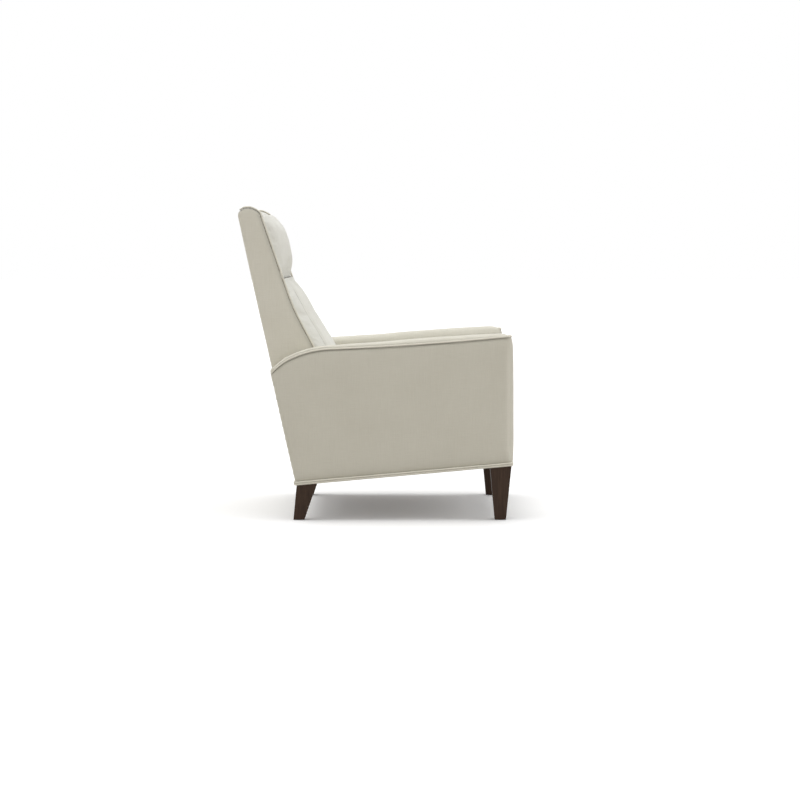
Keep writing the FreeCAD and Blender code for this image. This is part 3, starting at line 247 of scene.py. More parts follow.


# The linens are lit and shaded copies of one cloth. Their tones paint shade on the arms, the rail
# cloth and the rear panel, and paint light on the back, the cushions (cooler there) and the pipings.
ARM_LINEN_PAINTED_DARKER = linen("arm_linen_painted_darker", (0.935, 0.935, 0.91))
BACK_LINEN_PAINTED_LIGHTER = linen("back_linen_painted_lighter", (1.03, 1.03, 1.01))
CUSHION_LINEN_PAINTED_LIGHTER = linen("cushion_linen_painted_lighter", (1.045, 1.075, 1.12))
PIPING_LINEN_PAINTED_LIGHTER = linen("piping_linen_painted_lighter", (1.08, 1.08, 1.06), bias=True)
LEG_WOOD = wood("espresso_wood", (0.034, 0.0185, 0.0115), (0.074, 0.043, 0.027), 0.05, 0.55)
TIMBER = wood("raw_timber", (0.33, 0.21, 0.11), (0.56, 0.41, 0.25), 0.0, 0.75)
BLACK_STEEL = coated_steel("powder_coat", (0.012, 0.012, 0.013), (0.032, 0.032, 0.034), 0.5, 0.0,
                           (700.0, 700.0, 700.0))
ZINC = coated_steel("zinc_plate", (0.36, 0.36, 0.35), (0.62, 0.62, 0.60), 0.38, 1.0,
                    (260.0, 260.0, 40.0))
SPRING_WIRE = coated_steel("spring_wire", (0.12, 0.12, 0.125), (0.30, 0.30, 0.31), 0.45, 1.0,
                           (120.0, 120.0, 500.0))
NYLON = coated_steel("moulded_nylon", (0.022, 0.018, 0.015), (0.045, 0.038, 0.032), 0.55, 0.0,
                     (400.0, 400.0, 400.0))


# Cloth simulation, by Blender's names for its settings
CLOTH_FRAMES = 20
CLOTH = {"quality": 4, "mass": 0.25, "tension_stiffness": 25, "compression_stiffness": 18,
         "shear_stiffness": 8, "bending_stiffness": 0.6, "use_pressure": True,
         "uniform_pressure_force": 4.0, "shrink_min": -0.02}


# Shares from 0 to 1
def rising(values, start, reach):
    """0 up to a start, 1 past a reach beyond it, and even between."""
    return np.clip((values - start) / reach, 0, 1)


def looking(component, share=0.6):
    """1 where faces look straight along an axis, falling to 0 where its part is down to a share."""
    return rising(component, share, 1 - share)


def narrow(distance, reach):
    """1 at no distance, falling like a bell."""
    return np.exp(-(distance / reach) ** 2)


def fading(distance, reach):
    """1 at no distance, falling fast at first and then slowly."""
    return np.exp(-distance / reach)


def bowl(values, low, high, power=2.0):
    """1 in the middle of a range and 0 at its ends."""
    share = np.clip((values - low) / (high - low), 0, 1) * 2 - 1
    return 1 - np.abs(share) ** power


def bumps(points, size, seed):
    """Smooth random field from -1 to 1 at points, with bumps of about that size."""
    shift = Vector((seed * 3.1, seed * 7.7, seed * 5.3))
    return np.array([noise.noise(Vector(point) / size + shift) for point in points])


# Mesh work
def copy_of(node, name):
    """A new piece that starts as a copy of a CAD node's mesh."""
    piece = bpy.data.objects.new(name, frame["nodes"][node].data.copy())
    scene.collection.objects.link(piece)
    return piece


def made_of(name, points, faces):
    """A new piece of these points and faces, with every face turned outward."""
    mesh = bpy.data.meshes.new(name)
    mesh.from_pydata(points, [], faces)
    piece = bpy.data.objects.new(name, mesh)
    scene.collection.objects.link(piece)
    work = bmesh.new()
    work.from_mesh(mesh)
    bmesh.ops.recalc_face_normals(work, faces=work.faces)
    work.to_mesh(mesh)
    work.free()
    return piece


def baked(piece):
    """Replaces the piece's mesh by what its modifiers make of it."""
    graph = bpy.context.evaluated_depsgraph_get()
    mesh = bpy.data.meshes.new_from_object(piece.evaluated_get(graph))
    piece.modifiers.clear()
    piece.data = mesh
    return piece


def remeshed(piece, voxel, passes=6):
    """Even mesh of small quads, with its steps smoothed out."""
    remesh = piece.modifiers.new("even", "REMESH")
    remesh.mode = "VOXEL"
    remesh.voxel_size = voxel
    smooth = piece.modifiers.new("smooth", "SMOOTH")
    smooth.factor = 0.5
    smooth.iterations = passes
    return baked(piece)


def subdivided(piece):
    """Splits every face in four and rounds the mesh."""
    sub = piece.modifiers.new("subdivision", "SUBSURF")
    sub.levels = 1
    sub.render_levels = 1
    return baked(piece)


def points_of(piece):
    values = np.empty(len(piece.data.vertices) * 3)
    piece.data.vertices.foreach_get("co", values)
    return values.reshape(-1, 3)


def normals_of(piece):
    values = np.empty(len(piece.data.vertices) * 3)
    piece.data.vertices.foreach_get("normal", values)
    return values.reshape(-1, 3)


def set_points(piece, points):
    piece.data.vertices.foreach_set("co", np.ascontiguousarray(points).ravel())
    piece.data.update()


def set_painted_shade(piece, values):
    """Stores painted shade at each point, from 0 to 1, which darkens the linen at seams and under
    pipings.
    """
    layer = piece.data.attributes.new("painted_shade", "FLOAT", "POINT")
    layer.data.foreach_set("value", np.clip(values, 0, 1))


def nearest_on(points, node):
    """Nearest places on a CAD node's surface, and the distances to them."""
    mesh = frame["nodes"][node].data
    tree = BVHTree.FromPolygons([vertex.co for vertex in mesh.vertices],
                                [tuple(face.vertices) for face in mesh.polygons])
    found = [tree.find_nearest(point) for point in points]
    return np.array([place for place, _, _, _ in found]), np.array([gap for _, _, _, gap in found])


def nearest_of(points, nodes):
    """Distance from points to the nearest of two CAD nodes."""
    first, second = nodes
    return np.minimum(nearest_on(points, first)[1], nearest_on(points, second)[1])


def refined(piece, near):
    """Splits the edges between the points marked near in three, for folds finer than the mesh."""
    work = bmesh.new()
    work.from_mesh(piece.data)
    marked = [edge for edge in work.edges if all(near[vertex.index] for vertex in edge.verts)]
    bmesh.ops.subdivide_edges(work, edges=marked, cuts=2, use_grid_fill=True)
    work.to_mesh(piece.data)
    work.free()


def islands(piece):
    """The unconnected parts of a piece, each as a piece of its own."""
    work = bmesh.new()
    work.from_mesh(piece.data)
    bmesh.ops.remove_doubles(work, verts=work.verts, dist=1e-6)
    parts = []
    while work.verts:
        work.verts.ensure_lookup_table()
        seen = {work.verts[0]}
        waiting = [work.verts[0]]
        while waiting:
            vertex = waiting.pop()
            for edge in vertex.link_edges:
                other = edge.other_vert(vertex)
                if other not in seen:
                    seen.add(other)
                    waiting.append(other)
        for vertex in work.verts:
            vertex.tag = vertex in seen
        part = work.copy()
        bmesh.ops.delete(part, geom=[vertex for vertex in part.verts if not vertex.tag],
                         context="VERTS")
        mesh = bpy.data.meshes.new("part")
        part.to_mesh(mesh)
        part.free()
        item = bpy.data.objects.new("part", mesh)
        scene.collection.objects.link(item)
        parts.append(item)
        bmesh.ops.delete(work, geom=list(seen), context="VERTS")
    work.free()
    return parts


def gathered(piece, parts):
    """Puts the parts' meshes together in the piece and removes the parts."""
    work = bmesh.new()
    for part in parts:
        work.from_mesh(part.data)
        bpy.data.objects.remove(part)
    work.to_mesh(piece.data)
    work.free()


def dressed(piece, body, material, nodes=()):
    """Gives a piece its body, slot, material and smooth faces, and hides the nodes it stands for."""
    piece.data.materials.clear()
    piece.data.materials.append(material)
    for face in piece.data.polygons:
        face.use_smooth = True
    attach(piece, body)
    if nodes:
        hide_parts(*nodes)


def swollen(piece, pinned, cap):
    """Cloth blown up from inside, held at its pinned points, with its travel capped."""
    start = points_of(piece)
    group = piece.vertex_groups.new(name="pins")
    for number in np.nonzero(pinned)[0]:
        group.add([int(number)], 1.0, "REPLACE")
    cloth = piece.modifiers.new("cloth", "CLOTH")
    for name, value in CLOTH.items():
        setattr(cloth.settings, name, value)
    cloth.settings.vertex_group_mass = group.name
    cloth.settings.effector_weights.gravity = 0
    cloth.point_cache.frame_start = 1
    cloth.point_cache.frame_end = CLOTH_FRAMES
    for number in range(1, CLOTH_FRAMES + 1):
        scene.frame_set(number)
        bpy.context.evaluated_depsgraph_get().update()
    baked(piece)
    scene.frame_set(1)
    moved = points_of(piece) - start
    length = np.linalg.norm(moved, axis=1, keepdims=True)
    allowed = cap * np.tanh(length / cap)
    set_points(piece, start + moved * allowed / np.maximum(length, 1e-9))
    piece.vertex_groups.clear()
    return piece


# Shapes that covers and pipings share, in metres. A pair says where a change starts along an axis
# and how far it reaches.
SEAM_REACH = 0.016
ARM_FRONT = (0.40, 0.06)
ARM_UPPER = (0.580, 0.03)
ARM_REAR = (0.300, 0.045)
ARM_ABOVE = (0.44, 0.05)
FRONT_PULL = 0.0040
FRONT_DROP = 0.0015
REAR_DROP = 0.0070
BACK_REAR = (-0.459, 0.020)
BACK_FRONT = (0.383, 0.035)
BACK_TOP = (1.000, 0.030)
ARCH_LIFT = 0.0050
ARCH_LOW = 1.012


def drawn_back(points):
    """Pulls the top of an arm's front back a little, and lets its top fall at the rear end."""
    drawn = points.copy()
    share = rising(points[:, 0], *ARM_FRONT) * rising(points[:, 2], *ARM_UPPER)
    drawn[:, 0] -= share * FRONT_PULL
    drawn[:, 2] -= share ** 2 * FRONT_DROP
    drawn[:, 2] -= rising(-points[:, 0], *ARM_REAR) * rising(points[:, 2], *ARM_ABOVE) * REAR_DROP
    return drawn


def arched(points):
    """Lifts the rounded top of the back's sides a little."""
    lifted = points.copy()
    rear = rising(points[:, 0], *BACK_REAR)
    front = rising(-points[:, 0], *BACK_FRONT)
    lifted[:, 2] += rising(points[:, 2], *BACK_TOP) * rear * front * ARCH_LIFT
    return lifted


# Arm covers: the lower edge is a line of this height and slope, from its rear end forward.
LOWER_EDGE = 0.1185
LOWER_REAR = -0.262
LOWER_SLOPE = 0.0904
SIDE_BLEND = 0.03
CROWN_AHEAD = (0.04, 0.50)
CROWN_BEHIND = (-0.05, 0.20)
CROWN = 0.0025
CROWN_MORE = 0.0042
CROWN_LESS = 0.0050
CROWN_FALL = 0.045
NOSE_DROP = 0.0120
SIDE_PUFF = 0.0010
FRONT_PUFF = 0.0065
SEAM_PLUMP = 0.0052
SEAM_CREASE = 0.0026
CORNER_REACH = 0.036
CORNER_OUT = 0.044
CORNER_CUT = 0.0085
CORNER_CLEAR = 0.05


def arm_cover(side):
    """Padded arm with a crowned top, plump beside its piping and drawn in under it."""
    sign = SIGN[side]
    top_welt = f"{side}_arm_welt"
    piece = remeshed(copy_of(f"{side}_arm_cover", f"{side}_arm_upholstery"), 0.005)
    refined(piece, nearest_of(points_of(piece), (top_welt, "base_welts")) < SEAM_REACH)
    points = points_of(piece)
    normals = normals_of(piece)
    low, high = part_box(f"{side}_arm_cover")
    top_place, top_gap = nearest_on(points, top_welt)
    base_gap = nearest_on(points, "base_welts")[1]
    seams = np.minimum(top_gap, base_gap)

    middle = abs(low.y + high.y) / 2
    outer = rising(points[:, 1] * sign, middle, SIDE_BLEND) * np.clip(normals[:, 1] * sign, 0, 1)
    under = outer * (points[:, 2] < top_place[:, 2])
    top = looking(normals[:, 2])
    front = looking(normals[:, 0])
    free = np.clip(outer + top + front, 0, 1)
    across = bowl(points[:, 1], low.y, high.y, 2.5)
    lower_edge = LOWER_EDGE + (points[:, 0] - LOWER_REAR) * LOWER_SLOPE
    puff = bowl(points[:, 0], low.x, high.x, 4) * bowl(points[:, 2], lower_edge, high.z - 0.02, 4)

    crease = narrow(top_gap, 0.0024) + 0.4 * narrow(base_gap, 0.004)
    ripple = bumps(points, 0.11, 1 + sign) * 0.0011 + bumps(points, 0.035, 4 + sign) * 0.0004
    pucker = fading(seams, 0.03) * bumps(points, 0.028, 9) * 0.0006
    plump = (1 - fading(top_gap, 0.007)) * (1 - fading(base_gap, 0.009))
    ahead = np.clip(bowl(points[:, 0], *CROWN_AHEAD), 0, 1)
    behind = rising(-points[:, 0], *CROWN_BEHIND)
    crown = top * across * (CROWN + CROWN_MORE * ahead - CROWN_LESS * behind)
    padding = outer * np.clip(puff, 0, 1) * SIDE_PUFF + crown + front * across * FRONT_PUFF
    travel = padding + under * plump * SEAM_PLUMP + (ripple + pucker) * free
    travel -= crease * SEAM_CREASE * free
    points = points + normals * travel[:, None]

    foremost = rising(points[:, 0], high.x - CORNER_REACH, CORNER_REACH)
    outmost = rising(points[:, 1] * sign, middle + CORNER_OUT - CORNER_REACH, CORNER_REACH)
    cut = (foremost * outmost) ** 2 * CORNER_CUT * rising(seams, 0, CORNER_CLEAR)
    points[:, 0] -= cut
    points[:, 1] -= cut * sign
    over = rising(points[:, 2], top_place[:, 2], 0.010)
    nose = rising(points[:, 0], high.x - CROWN_FALL, CROWN_FALL)
    points[:, 2] -= over * nose ** 2 * NOSE_DROP
    set_points(piece, drawn_back(points))
    # Painted shade: a thin dark line under the top piping and a soft darkening above the lower piping.
    set_painted_shade(piece, under * (narrow(top_gap, 0.0034) + 0.25 * fading(base_gap, 0.012)))
    dressed(piece, "frame", ARM_LINEN_PAINTED_DARKER, [f"{side}_arm_cover"])


# Pipings
CORD_VOXEL = 0.0013
CORD_SWELL = 0.0003
CORD_END = 0.020
SHADE_REACH = 0.012
REAR_TUCK = (0.004, -0.002, -0.003)
INNER_TUCK = (-0.007, 0, 0)


def tucked(points, end, into):
    """Narrows a cord toward its end and pushes the end into the padding."""
    share = np.clip(1 - np.linalg.norm(points - end, axis=1) / CORD_END, 0, 1)[:, None] ** 1.5
    return points + share * (np.array(into) + (end - points) * 0.6)


def piping(node, body, name, cover, shade, tucks=(), clear=0.0):
    """Fabric-covered cord, a little uneven along its length, with painted shade on its underside and
    where it meets its cover.
    """
    piece = copy_of(node, name)
    gathered(piece, [remeshed(part, CORD_VOXEL, 3) for part in islands(piece)])
    points = points_of(piece)
    swell = bumps(points, 0.02, 3) * 0.00025 + bumps(points, 0.006, 5) * 0.0001
    points = points + normals_of(piece) * (swell + CORD_SWELL)[:, None]
    below = np.clip(-normals_of(piece)[:, 2], 0, 1)
    beside = narrow(nearest_on(points, cover)[1], 0.0018) * (below > 0)
    for place, into in tucks:
        points = tucked(points, points[place(points)].mean(axis=0), into)
    points = drawn_back(points) if tucks else arched(points)
    set_points(piece, points)
    # Painted shade on the cord's underside and beside its cover, fading out below the clear height.
    reached = np.clip((points[:, 2] - clear) / SHADE_REACH + 0.35, 0, 1)
    set_painted_shade(piece, (below + beside) * shade * reached)
    dressed(piece, body, PIPING_LINEN_PAINTED_LIGHTER, [node])


def rear_end(points):
    return points[:, 0] < points[:, 0].min() + 0.001


def inner_end(points):
    return np.abs(points[:, 1]) < np.abs(points[:, 1]).min() + 0.001


for side in SIDES:
    arm_cover(side)
    inward = (REAR_TUCK[0], REAR_TUCK[1] * SIGN[side], REAR_TUCK[2])
    piping(f"{side}_arm_welt", "frame", f"{side}_arm_piping", f"{side}_arm_cover", 0.8,
           ((rear_end, inward), (inner_end, INNER_TUCK)))
    piping(f"{side}_back_welt", "back", f"{side}_back_piping", "back_cover", 0.8, (), ARCH_LOW)
piping("base_welts", "frame", "lower_piping", "left_arm_cover", 0.25)


# Back: the rear face's line gives X from Z by an offset and a slope.
BACK_WELTS = ("left_back_welt", "right_back_welt")
REAR_LINE = (-0.2362, -0.2195)
ABOVE_ARMS = (0.62, 0.06)
SKIN = 0.004
BACK_CREASE = 0.0014


def back_cover():
    """Tub of the back: side panels, a rolled top and a plain rear, seamed at the rear edges."""
    piece = remeshed(copy_of("back_cover", "back_upholstery"), 0.004, 2)
    refined(piece, nearest_of(points_of(piece), BACK_WELTS) < SEAM_REACH)
    points = points_of(piece)
    normals = normals_of(piece)
    low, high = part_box("back_cover")
    seams = nearest_of(points, BACK_WELTS)
    depth = points[:, 0] - (REAR_LINE[0] + REAR_LINE[1] * points[:, 2])
    edge = np.abs(np.abs(points[:, 1]) - high.y)
    outer = looking(np.abs(normals[:, 1])) * (np.abs(points[:, 1]) > high.y - SKIN)
    rearward = looking(-normals[:, 0]) * (depth < SKIN)
    clear = rising(points[:, 2], *ABOVE_ARMS)
    arch = rising(points[:, 2], ARCH_LOW, 0.012)

    rear_seam = narrow(depth - 0.002, 0.004) * outer + narrow(edge - 0.003, 0.004) * rearward
    pinch = narrow(seams, 0.006) * outer * clear * (0.3 + 0.7 * arch)
    billow = fading(seams, 0.022) * bumps(points, 0.035, 2) * 0.0012
    ripple = bumps(points, 0.10, 6) * 0.0010
    side_puff = bowl(depth, 0.0, 0.10, 3) * 0.0022
    rear_puff = bowl(points[:, 1], low.y, high.y, 4) * bowl(points[:, 2], 0.40, high.z, 4) * 0.006
    travel = outer * clear * (side_puff + billow + ripple) + rearward * (rear_puff + ripple)
    travel -= (pinch + rear_seam * clear) * BACK_CREASE
    set_points(piece, arched(points + normals * travel[:, None]))
    # Painted shade along the pipings: a crisp dark line at the arched top, a softer wider band down
    # the front.
    crisp = narrow(seams, 0.004) * 0.8
    soft = narrow(seams, 0.009) * 0.42
    set_painted_shade(piece, arch * crisp + (1 - arch) * soft)
    dressed(piece, "back", BACK_LINEN_PAINTED_LIGHTER, ["back_cover"])


# Cushions of the back. They meet in a plane that rises forward, seen as a notch from the side.
NOTCH_X = -0.292
NOTCH_Z = 0.8062
NOTCH_RISE = 0.12
NOTCH_DRAW = 0.0046
CUSHION_VOXEL = 0.005
BACK_CAP = 0.012
FILL = 0.004
REAR_FILL = 0.018
SIDE_FILL = 0.012
SIDE_START = (0.230, 0.025)
PILLOW_UPPER = 0.985
LUMBAR_LOWER = (0.60, 0.08)
TRIM = 0.0030
LUMBAR_SEAM = 0.190
STITCH = 0.0016


def rear_of(points):
    """X of a back cushion's rear face at the height of each point."""
    levels = np.linspace(points[:, 2].min(), points[:, 2].max(), 40)
    step = levels[1] - levels[0]
    rear = [points[np.abs(points[:, 2] - level) < step, 0].min() for level in levels]
    return np.interp(points[:, 2], levels, rear)


def thinned(points, share):
    """Draws a back cushion's front toward its rear face, to leave room for the swelling."""
    rear = rear_of(points)
    thin = points.copy()
    thin[:, 0] = rear + (points[:, 0] - rear) * share
    return thin


def pressed(points, way):
    """Fills a back cushion out to the plane where the two meet, and flattens it there."""
    plane = NOTCH_Z + NOTCH_RISE * (points[:, 0] - NOTCH_X)
    near = np.clip(1 - np.abs(points[:, 2] - plane) / 0.03, 0, 1)
    behind = np.clip((NOTCH_X + 0.010 - points[:, 0]) / 0.02, 0, 1)
    beside = rising(np.abs(points[:, 1]), *SIDE_START)
    filled = points.copy()
    filled[:, 2] += way * near * (FILL + behind * REAR_FILL + beside * SIDE_FILL)
    limit = plane - way * 0.0002
    filled[:, 2] = np.minimum(filled[:, 2], limit) if way > 0 else np.maximum(filled[:, 2], limit)
    return filled


def drawn_in(points, trim, reach):
    """Draws a back cushion's front in by a trim, and further beside the seam where the two meet."""
    depth = points[:, 0] - rear_of(points)
    amount = trim + NOTCH_DRAW * narrow(np.abs(points[:, 2] - NOTCH_Z), reach)
    drawn = points.copy()
    drawn[:, 0] -= amount * np.clip(depth / 0.016, 0, 1)
    return drawn


def plumped(node, name, share, held):
    """Back cushion blown up from a thinner start, held where its faces look most to the rear."""
    piece = remeshed(copy_of(node, name), CUSHION_VOXEL, 4)
    set_points(piece, thinned(points_of(piece), share))
    return subdivided(swollen(piece, normals_of(piece)[:, 0] < held, BACK_CAP))


def head_pillow():
    """Rolled head pillow, full in front and over the top, held along its rear edges."""
    piece = plumped("head_pillow", "head_pillow_cushion", 0.83, -0.75)
    points = points_of(piece)
    crease = bumps(points, 0.05, 12) * 0.0009
    points = points + normals_of(piece) * crease[:, None]
    trim = np.clip((PILLOW_UPPER - points[:, 2]) / 0.08, 0, 1) * TRIM
    set_points(piece, drawn_in(pressed(points, -1), trim, 0.030))
    dressed(piece, "back", CUSHION_LINEN_PAINTED_LIGHTER, ["head_pillow"])


def lumbar_cushion():
    """Back cushion with a fine sewn seam up each side."""
    piece = plumped("lumbar_cushion", "lumbar_pad", 0.80, -0.7)
    seam = np.abs(np.abs(points_of(piece)[:, 1]) - LUMBAR_SEAM)
    refined(piece, (seam < 0.008) & (normals_of(piece)[:, 0] > 0))
    points = points_of(piece)
    normals = normals_of(piece)
    seam = np.abs(np.abs(points[:, 1]) - LUMBAR_SEAM)
    sewn = np.clip(normals[:, 0] * 2, 0, 1) * np.clip((0.775 - points[:, 2]) / 0.03, 0, 1)
    travel = bumps(points, 0.05, 14) * 0.0009 - sewn * narrow(seam, STITCH) * 0.0030
    travel += sewn * fading(seam, 0.012) * (0.0008 + bumps(points, 0.022, 15) * 0.0005)
    points = points + normals * travel[:, None]
    trim = rising(points[:, 2], *LUMBAR_LOWER) * TRIM
    set_points(piece, drawn_in(pressed(points, 1), trim, 0.022))
    # Painted shade in the sewn seams.
    set_painted_shade(piece, sewn * narrow(seam, STITCH))
    dressed(piece, "back", CUSHION_LINEN_PAINTED_LIGHTER, ["lumbar_cushion"])


back_cover()
head_pillow()
lumbar_cushion()


# Seat, footrest and rear panel
SEAT_HALF = 0.274
SEAT_FRONT = 0.445
SEAT_SEAM = 0.032
THIN_CLOTH = 0.0016
CLOTH_GAP = 0.0004
RAIL_STEPS = 60
RAIL_FOLD = 0.030
RAIL_BARE = 0.0210


def from_edge(points):
    """Distance in from the seat cushion's sides and front."""
    return np.minimum(SEAT_HALF - np.abs(points[:, 1]), SEAT_FRONT - points[:, 0])


def seat_cushion():
    """Crowned seat cushion with a waterfall front and a seam round its top."""
    piece = remeshed(copy_of("seat_cushion", "seat_pad"), 0.006)
    piece = subdivided(swollen(piece, normals_of(piece)[:, 2] < -0.6, 0.010))
    inward = from_edge(points_of(piece))
    refined(piece, (np.abs(inward - SEAT_SEAM) < 0.010) & (normals_of(piece)[:, 2] > 0.2))
    points = points_of(piece)
    normals = normals_of(piece)
    seam = narrow(from_edge(points) - SEAT_SEAM, 0.0018) * np.clip(normals[:, 2] * 2, 0, 1)
    travel = bumps(points, 0.07, 21) * 0.0012 - seam * 0.0025
    set_points(piece, points + normals * travel[:, None])
    # Painted shade in the seam round the top.
    set_painted_shade(piece, seam * 0.7)
    dressed(piece, "seat", CUSHION_LINEN_PAINTED_LIGHTER, ["seat_cushion"])


def rail_cloth():
    """Cloth pulled over the lower part of the seat frame's front rail and folded under it."""
    low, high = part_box("seat_frame")
    inner = high.x + CLOTH_GAP
    outer = inner + THIN_CLOTH
    under = low.z - CLOTH_GAP
    lowest = low.z - THIN_CLOTH
    top = high.z - RAIL_BARE
    outline = [(inner - RAIL_FOLD, under), (inner, under), (inner, top), (outer, top),
               (outer, under), (inner + THIN_CLOTH * 0.3, lowest), (inner - RAIL_FOLD, lowest)]
    count = len(outline)
    points = [(x, y, z) for y in np.linspace(low.y - 0.001, high.y + 0.001, RAIL_STEPS)
              for x, z in outline]
    faces = [(row * count + place, row * count + (place + 1) % count,
              (row + 1) * count + (place + 1) % count, (row + 1) * count + place)
             for row in range(RAIL_STEPS - 1) for place in range(count)]
    faces.append(tuple(reversed(range(count))))
    faces.append(tuple(range((RAIL_STEPS - 1) * count, RAIL_STEPS * count)))
    piece = made_of("seat_rail_cloth", points, faces)
    dressed(piece, "seat", ARM_LINEN_PAINTED_DARKER)


def board_cloth():
    """Cloth round the four edges of the footrest board."""
    low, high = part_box("footrest_board")
    rear = low.x + CLOTH_GAP
    front = high.x - CLOTH_GAP
    outside = CLOTH_GAP + THIN_CLOTH
    points = []
    for x, out in ((rear, CLOTH_GAP), (rear, outside), (front, outside), (front, CLOTH_GAP)):
        points += [(x, low.y - out, low.z - out), (x, high.y + out, low.z - out),
                   (x, high.y + out, high.z + out), (x, low.y - out, high.z + out)]
    faces = [(ring * 4 + side, ring * 4 + (side + 1) % 4,
              (ring + 1) % 4 * 4 + (side + 1) % 4, (ring + 1) % 4 * 4 + side)
             for ring in range(4) for side in range(4)]
    piece = made_of("footrest_edge_cloth", points, faces)
    dressed(piece, "footrest", CUSHION_LINEN_PAINTED_LIGHTER)
    for face in piece.data.polygons:
        face.use_smooth = False


def footrest_pad():
    """Thin pad upholstered over the footrest board."""
    piece = remeshed(copy_of("footrest_pad", "footrest_cushion"), 0.004)
    piece = subdivided(swollen(piece, normals_of(piece)[:, 0] < -0.6, 0.005))
    points = points_of(piece)
    travel = bumps(points, 0.06, 23) * 0.0006
    set_points(piece, points + normals_of(piece) * travel[:, None])
    dressed(piece, "footrest", CUSHION_LINEN_PAINTED_LIGHTER, ["footrest_pad"])


def rear_panel():
    """Padded panel between the arms, under the back."""
    piece = remeshed(copy_of("rear_panel", "rear_panel_upholstery"), 0.0045)
    points = points_of(piece)
    normals = normals_of(piece)
    low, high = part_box("rear_panel")
    puff = bowl(points[:, 1], low.y, high.y, 4) * bowl(points[:, 2], low.z, high.z, 3)
    travel = looking(-normals[:, 0], 0.5) * (puff * 0.005 + bumps(points, 0.09, 27) * 0.0008)
    set_points(piece, points + normals * travel[:, None])
    dressed(piece, "frame", ARM_LINEN_PAINTED_DARKER, ["rear_panel"])


seat_cushion()
rail_cloth()
board_cloth()
footrest_pad()
rear_panel()


# Hard parts keep their CAD shape, with a finish, and the wooden ones with slightly eased edges.
FINISHES = {"leg_wood": LEG_WOOD, "frame_timber": TIMBER, "mechanism_steel": BLACK_STEEL,
            "bright_steel": ZINC, "spring_steel": SPRING_WIRE, "nylon": NYLON}
EASED = {"leg_wood": 0.0015, "frame_timber": 0.0010}
for part in frame["record"]["subparts"]:
    finish = part["material_slot"]
    if finish not in FINISHES:
        continue
    node = frame["nodes"][part["node"]]
    if not node.material_slots:
        node.data.materials.append(None)
    for place in node.material_slots:
        place.link = "OBJECT"
        place.material = FINISHES[finish]
    if finish in EASED:
        bevel = node.modifiers.new("eased_edges", "BEVEL")
        bevel.width = EASED[finish]
        bevel.segments = 2
        bevel.limit_method = "ANGLE"


# Floor, light and camera. A lamp has a strength, a spread in degrees and the way to it.
FLOOR_REACH = 60.0
FLOOR_BOUNCE = (0.60, 0.575, 0.535)
FLOOR_GLOW = 0.12
SKY = 0.465
LAMPS = {"overhead": (1.57, 56, (-0.12, 0.06, 1.0)),
         "front": (0.55, 50, (1.0, -0.03, 0.65)),
         "rear": (0.25, 50, (-1.0, -0.03, 0.75))}
LENS_LENGTH = 86.74
SENSOR_WIDTH = 36
CAMERA_PLACE = (0.0835, -6.742, 0.884)
CAMERA_PITCH = 85.69


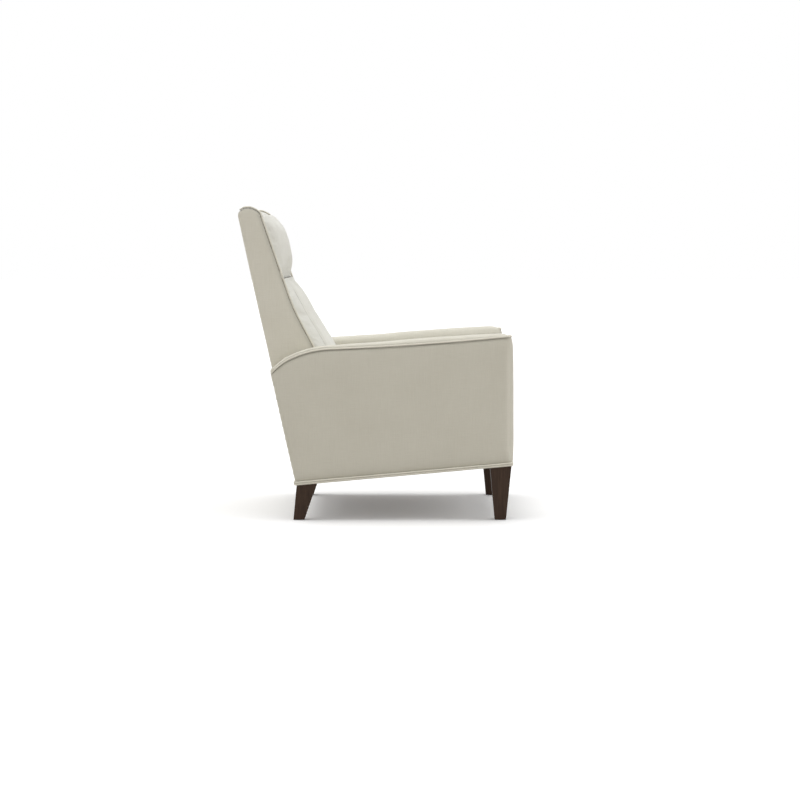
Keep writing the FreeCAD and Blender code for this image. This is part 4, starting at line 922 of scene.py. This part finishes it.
def floor():
    """White ground that keeps the chair's shadow and throws back less light than it shows."""
    mesh = bpy.data.meshes.new("floor")
    mesh.from_pydata([(-FLOOR_REACH, -FLOOR_REACH, 0), (FLOOR_REACH, -FLOOR_REACH, 0),
                      (FLOOR_REACH, FLOOR_REACH, 0), (-FLOOR_REACH, FLOOR_REACH, 0)],
                     [], [(0, 1, 2, 3)])
    item = bpy.data.objects.new("floor", mesh)
    scene.collection.objects.link(item)
    graph = Graph("white_floor")
    path = graph.node("ShaderNodeLightPath")
    seen = graph.math("MAXIMUM", path.outputs["Is Camera Ray"],
                      graph.math("MAXIMUM", path.outputs["Is Glossy Ray"],
                                 path.outputs["Is Transmission Ray"]))
    mix = graph.node("ShaderNodeMix", data_type="RGBA")
    graph.feed(mix, 0, seen)
    mix.inputs[6].default_value = (*FLOOR_BOUNCE, 1)
    mix.inputs[7].default_value = (1, 1, 1, 1)
    shader = graph.node("ShaderNodeBsdfDiffuse")
    graph.tree.links.new(mix.outputs[2], shader.inputs["Color"])
    glow = graph.node("ShaderNodeEmission")
    graph.feed(glow, "Strength", graph.math("MULTIPLY", seen, FLOOR_GLOW))
    both = graph.node("ShaderNodeAddShader")
    output = graph.node("ShaderNodeOutputMaterial")
    graph.tree.links.new(shader.outputs[0], both.inputs[0])
    graph.tree.links.new(glow.outputs[0], both.inputs[1])
    graph.tree.links.new(both.outputs[0], output.inputs[0])
    mesh.materials.append(graph.material)


def sky():
    """Even soft light from all round, white to the camera and in reflections."""
    world = bpy.data.worlds.new("studio")
    scene.world = world
    world.use_nodes = True
    tree = world.node_tree
    tree.nodes.clear()
    path = tree.nodes.new("ShaderNodeLightPath")
    clear = tree.nodes.new("ShaderNodeMath")
    clear.operation = "MAXIMUM"
    seen = tree.nodes.new("ShaderNodeMath")
    seen.operation = "MAXIMUM"
    strength = tree.nodes.new("ShaderNodeMath")
    strength.operation = "MULTIPLY_ADD"
    strength.inputs[1].default_value = 1.0 - SKY
    strength.inputs[2].default_value = SKY
    glow = tree.nodes.new("ShaderNodeBackground")
    glow.inputs["Color"].default_value = (1, 1, 1, 1)
    output = tree.nodes.new("ShaderNodeOutputWorld")
    tree.links.new(path.outputs["Is Glossy Ray"], clear.inputs[0])
    tree.links.new(path.outputs["Is Transmission Ray"], clear.inputs[1])
    tree.links.new(path.outputs["Is Camera Ray"], seen.inputs[0])
    tree.links.new(clear.outputs[0], seen.inputs[1])
    tree.links.new(seen.outputs[0], strength.inputs[0])
    tree.links.new(strength.outputs[0], glow.inputs["Strength"])
    tree.links.new(glow.outputs[0], output.inputs[0])


def sun(name, strength, spread, aim):
    """Wide soft light of parallel rays from a direction."""
    lamp = bpy.data.lights.new(name, "SUN")
    lamp.energy = strength
    lamp.angle = math.radians(spread)
    item = bpy.data.objects.new(name, lamp)
    item.rotation_mode = "QUATERNION"
    item.rotation_quaternion = Vector(aim).to_track_quat("Z", "Y")
    scene.collection.objects.link(item)


floor()
sky()
for name, (strength, spread, aim) in LAMPS.items():
    sun(name, strength, spread, aim)

lens = bpy.data.cameras.new("camera")
lens.lens = LENS_LENGTH
lens.sensor_width = SENSOR_WIDTH
camera = bpy.data.objects.new("camera", lens)
camera.location = CAMERA_PLACE
camera.rotation_euler = (math.radians(CAMERA_PITCH), 0, 0)
scene.collection.objects.link(camera)
scene.camera = camera
scene.view_settings.view_transform = "Standard"
